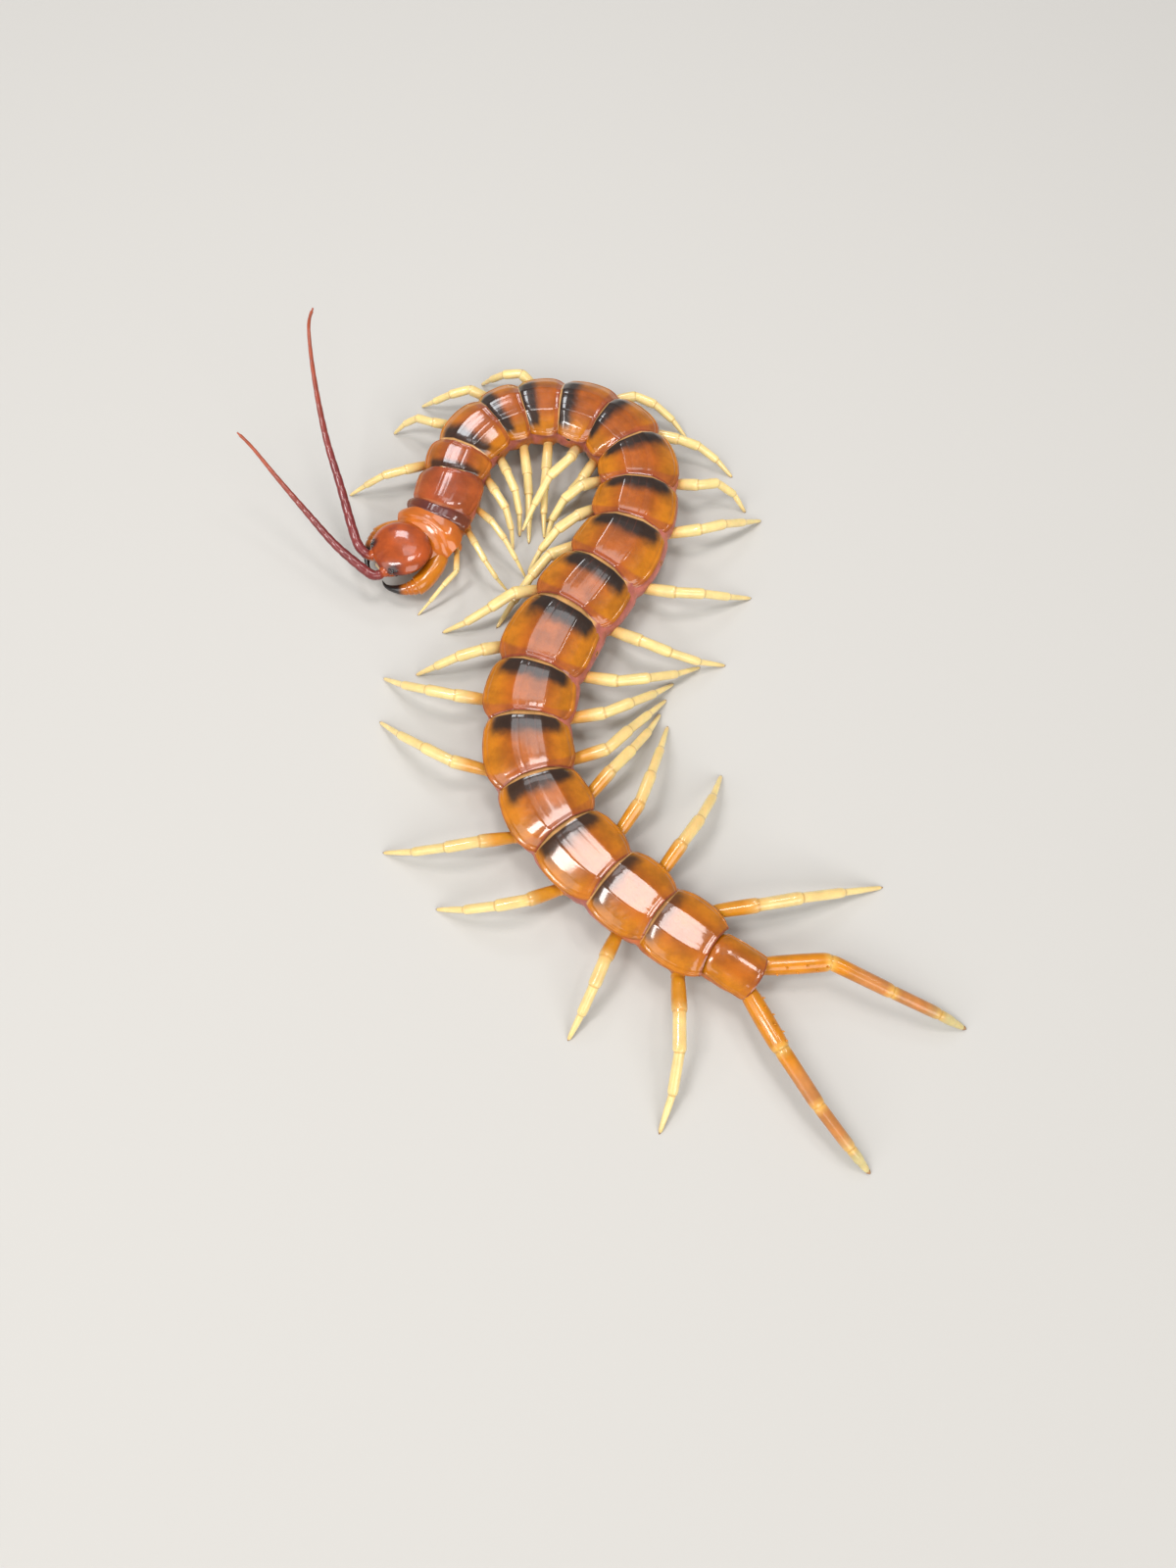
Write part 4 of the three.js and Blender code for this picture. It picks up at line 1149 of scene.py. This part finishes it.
# Under the head: the shield with its teeth and the two fanged claws
shield = {
    "half": [(-8, 3.6), (-6.8, 4.6), (-5.4, 4.9), (-4.7, 4.7), (-3.6, 2.9), (0.6, 2.6), (2.2, 2.2),
             (2.5, 0.3)],
    "levels": (2.5, 2.7, 3.1, 3.8, 4.2), "scales": (0.86, 0.97, 1.0, 1.0, 0.9), "middle": -2.5,
    "teeth": (0.6, 1.05, 1.5, 1.95), "toothRadii": (0.34, 0.32, 0.28, 0.18),
}


# A ring raised level by level; then each corner takes the outline's corner of the same rank round the middle
def buildShield():
    middle, levels = shield["middle"], shield["levels"]
    outline = shield["half"] + [(x, -y) for x, y in reversed(shield["half"])]
    outline.sort(key=lambda corner: np.arctan2(corner[1], corner[0] - middle))
    count = len(outline)
    piece = newPrimitive("shield", bpy.ops.mesh.primitive_circle_add, vertices=count, radius=mm,
                         fill_type='NGON')
    editing(piece)
    for low, high in zip(levels, levels[1:]):
        bpy.ops.mesh.extrude_region_move(TRANSFORM_OT_translate={"value": (0, 0, (high - low) * mm)})
    doneEditing()
    flat = coordinates(piece.data) / mm
    angles = np.arctan2(flat[:, 1], flat[:, 0])
    ringAngles = np.sort(angles[:count])
    points = np.empty_like(flat)
    for i in range(len(flat)):
        step = int(np.argmin(np.abs(np.array(levels) - levels[0] - flat[i, 2])))
        x, y = outline[int(np.argmin(np.abs(ringAngles - angles[i])))]
        scale = shield["scales"][step]
        points[i] = inHead((middle + (x - middle) * scale, y * scale, levels[step]))
    setCoordinates(piece.data, points)
    recalculateNormals(piece)
    applyModifier(piece, 'BEVEL', width=0.25 * mm, segments=3, limit_method='ANGLE')
    return finishPiece(piece, finishes["claw"], angle=40)


buildShield()
for side in (1, -1):
    for i, y in enumerate(shield["teeth"]):
        rootAndTip = [(1.8, side * y, 3.4), (3.1, side * 1.05 * y, 3.3)]
        tooth = tubeInHead(f"tooth{i}{side}", rootAndTip, shield["toothRadii"], 12, 8)
        setShares(tooth.data, along=0.9)
        finishPiece(tooth, finishes["claw"])

claw = {
    "left": [(-7.2, 3.4, 4.5), (-5.7, 4.4, 4.5), (-4.0, 5.3, 4.4), (-2.3, 6.0, 4.3), (-0.7, 6.5, 4.2),
             (0.8, 6.7, 4.1), (2.3, 6.3, 3.9), (3.8, 5.5, 3.7), (5.0, 4.2, 3.4), (5.7, 2.8, 3.1),
             (5.6, 1.3, 2.9)],
    "right": [(-6.9, -3.6, 4.5), (-5.3, -4.6, 4.5), (-3.7, -5.5, 4.4), (-2.1, -6.3, 4.3), (-0.4, -6.8, 4.2),
              (1.2, -6.9, 4.1), (2.6, -6.6, 4.0), (4.0, -5.9, 3.8), (5.3, -4.7, 3.5), (6.2, -3.2, 3.2),
              (6.3, -1.5, 2.95)],
    "radii": [  # share along and radius: the thick root article, two short ones and the fang
        (0, 0.9), (0.03, 1.3), (0.1, 1.6), (0.2, 1.8), (0.35, 1.92), (0.45, 1.92), (0.505, 1.86),
        (0.518, 1.92), (0.526, 1.86), (0.531, 1.6), (0.536, 1.52), (0.544, 1.58), (0.572, 1.54),
        (0.579, 1.42), (0.585, 1.36), (0.593, 1.4), (0.62, 1.34), (0.627, 1.22), (0.633, 1.15),
        (0.643, 1.19), (0.68, 1.1), (0.74, 0.92), (0.81, 0.7), (0.88, 0.47), (0.95, 0.24), (1, 0.05)],
}


def buildFangClaw(sideName):
    shares = np.append(np.linspace(0, 1, 56), np.linspace(0.49, 0.66, 56))  # rings lie closer at the joints
    shares = np.unique(shares.round(4))
    piece = turnedBlank(f"fangClaw{sideName.title()}", [(t, 1) for t in shares], 32)
    curve = evenly(splineThrough(allInHead(claw[sideName])))
    layAlong(piece.data, curve, lambda t: slopeOf(curve, t), lambda t: readCurve(claw["radii"], t), 0.95)
    return finishPiece(piece, finishes["claw"], [f"forcipule_{sideName}"])


buildFangClaw("left")
buildFangClaw("right")
print("fangs")

# Antennae: a chain of articles, each swollen before its joint
antenna = {
    "base": 1.0, "tip": 0.3, "sides": 16, "bead": 0.08, "beadPlace": 0.62, "root": 0.72,
    "right": [(4.6, -1.6, 6.9), (5.7, -2.2, 7.0), (6.4, -4.7, 7.8), (5.6, -8.4, 8.9), (3.4, -15.6, 11.6),
              (0.9, -24.3, 15.6), (-2.7, -33.0, 21.2), (-6.1, -39.0, 26.6), (-7.7, -38.6, 31.0)],
    "left": [(4.6, 2.3, 6.7), (5.9, 2.25, 6.75), (7.3, 1.6, 6.9), (8.5, -1.0, 7.7), (10.3, -6.7, 9.3),
             (11.6, -14.0, 11.6), (13.0, -21.8, 14.7), (14.1, -28.0, 17.7), (15.2, -30.7, 20.0)],
}


def buildAntenna(sideName):
    rings = antennaArticles * 8
    profile = [(i / rings, 1) for i in range(rings + 1)]
    piece = turnedBlank(f"antenna{sideName.title()}", profile, antenna["sides"])
    curve = evenly(splineThrough(allInHead(antenna[sideName])))

    def thickness(t):
        part = (t * antennaArticles) % 1.0
        top = antenna["beadPlace"]
        if part < top:
            bead = 1 - antenna["bead"] + antenna["bead"] * sin(pi * part / top / 2)
        else:
            bead = 1 - antenna["bead"] * ((part - top) / (1 - top)) ** 3
        taper = antenna["base"] - (antenna["base"] - antenna["tip"]) * (smooth(t) * 0.6 + t * 0.4)
        root = antenna["root"] + (1 - antenna["root"]) * smooth((t - 0.022) / 0.02)
        return taper * bead * root * (1 if t < 0.985 else 0.6)

    layAlong(piece.data, curve, lambda t: slopeOf(curve, t), thickness)
    return finishPiece(piece, finishes["antenna"], [f"antenna_{sideName}"])


buildAntenna("left")
buildAntenna("right")
print("antennae")

# Belly plates, with two long grooves and soft edges
belly = {
    "columns": 40, "rows": 24, "thick": 0.25, "level": -0.2, "half": 0.29, "waist": 0.16, "curl": 0.35,
    "groove": (0.46, 0.05, 0.16), "begin": 0.04, "length": 0.92,
}


def buildBellyPlate(k):
    length, width = body["segments"][k - 1][:2]
    piece, across, v = newSheet(f"bellyPlate{k:02d}", belly["columns"], belly["rows"])
    a = np.abs(across)
    half = width * belly["half"] * (1 - belly["waist"] + belly["waist"] * np.sin(pi * v))
    level = body["belly"] + belly["level"] + hollow(a, *belly["groove"]) + belly["curl"] * a ** 4
    level = level + hollow(v, 1, 0.12, 0.12) + hollow(v, 0, 0.08, 0.12)
    setShares(piece.data, across=across, along=v)
    points = np.empty((len(v), 3))
    for i in range(len(v)):
        place = placeOn(k, length * (belly["begin"] + belly["length"] * v[i]))
        points[i] = atPlace(place, 0, across[i] * half[i], level[i])
    setCoordinates(piece.data, points)
    recalculateNormals(piece)
    applyModifier(piece, 'SOLIDIFY', thickness=belly["thick"] * mm, offset=0)
    return finishPiece(piece, finishes["belly"], angle=50)


for k in range(1, segmentCount + 1):
    buildBellyPlate(k)
for blank in (legBlank, clawBlank, lastBlank, ballBlank):
    dropBlank(blank)
print("belly plates")


def buildFloor():
    floor = newPrimitive("floor", bpy.ops.mesh.primitive_plane_add, size=studio["boardSize"])
    floor.data.materials.append(newMaterial("paleBoard", {
        "Base Color": (*studio["board"], 1), "Roughness": studio["boardRoughness"]}))


buildFloor()
addCamera()
addLamps()
addSky()
bpy.context.scene.view_settings.view_transform = 'Standard'
print("floor, camera and light")
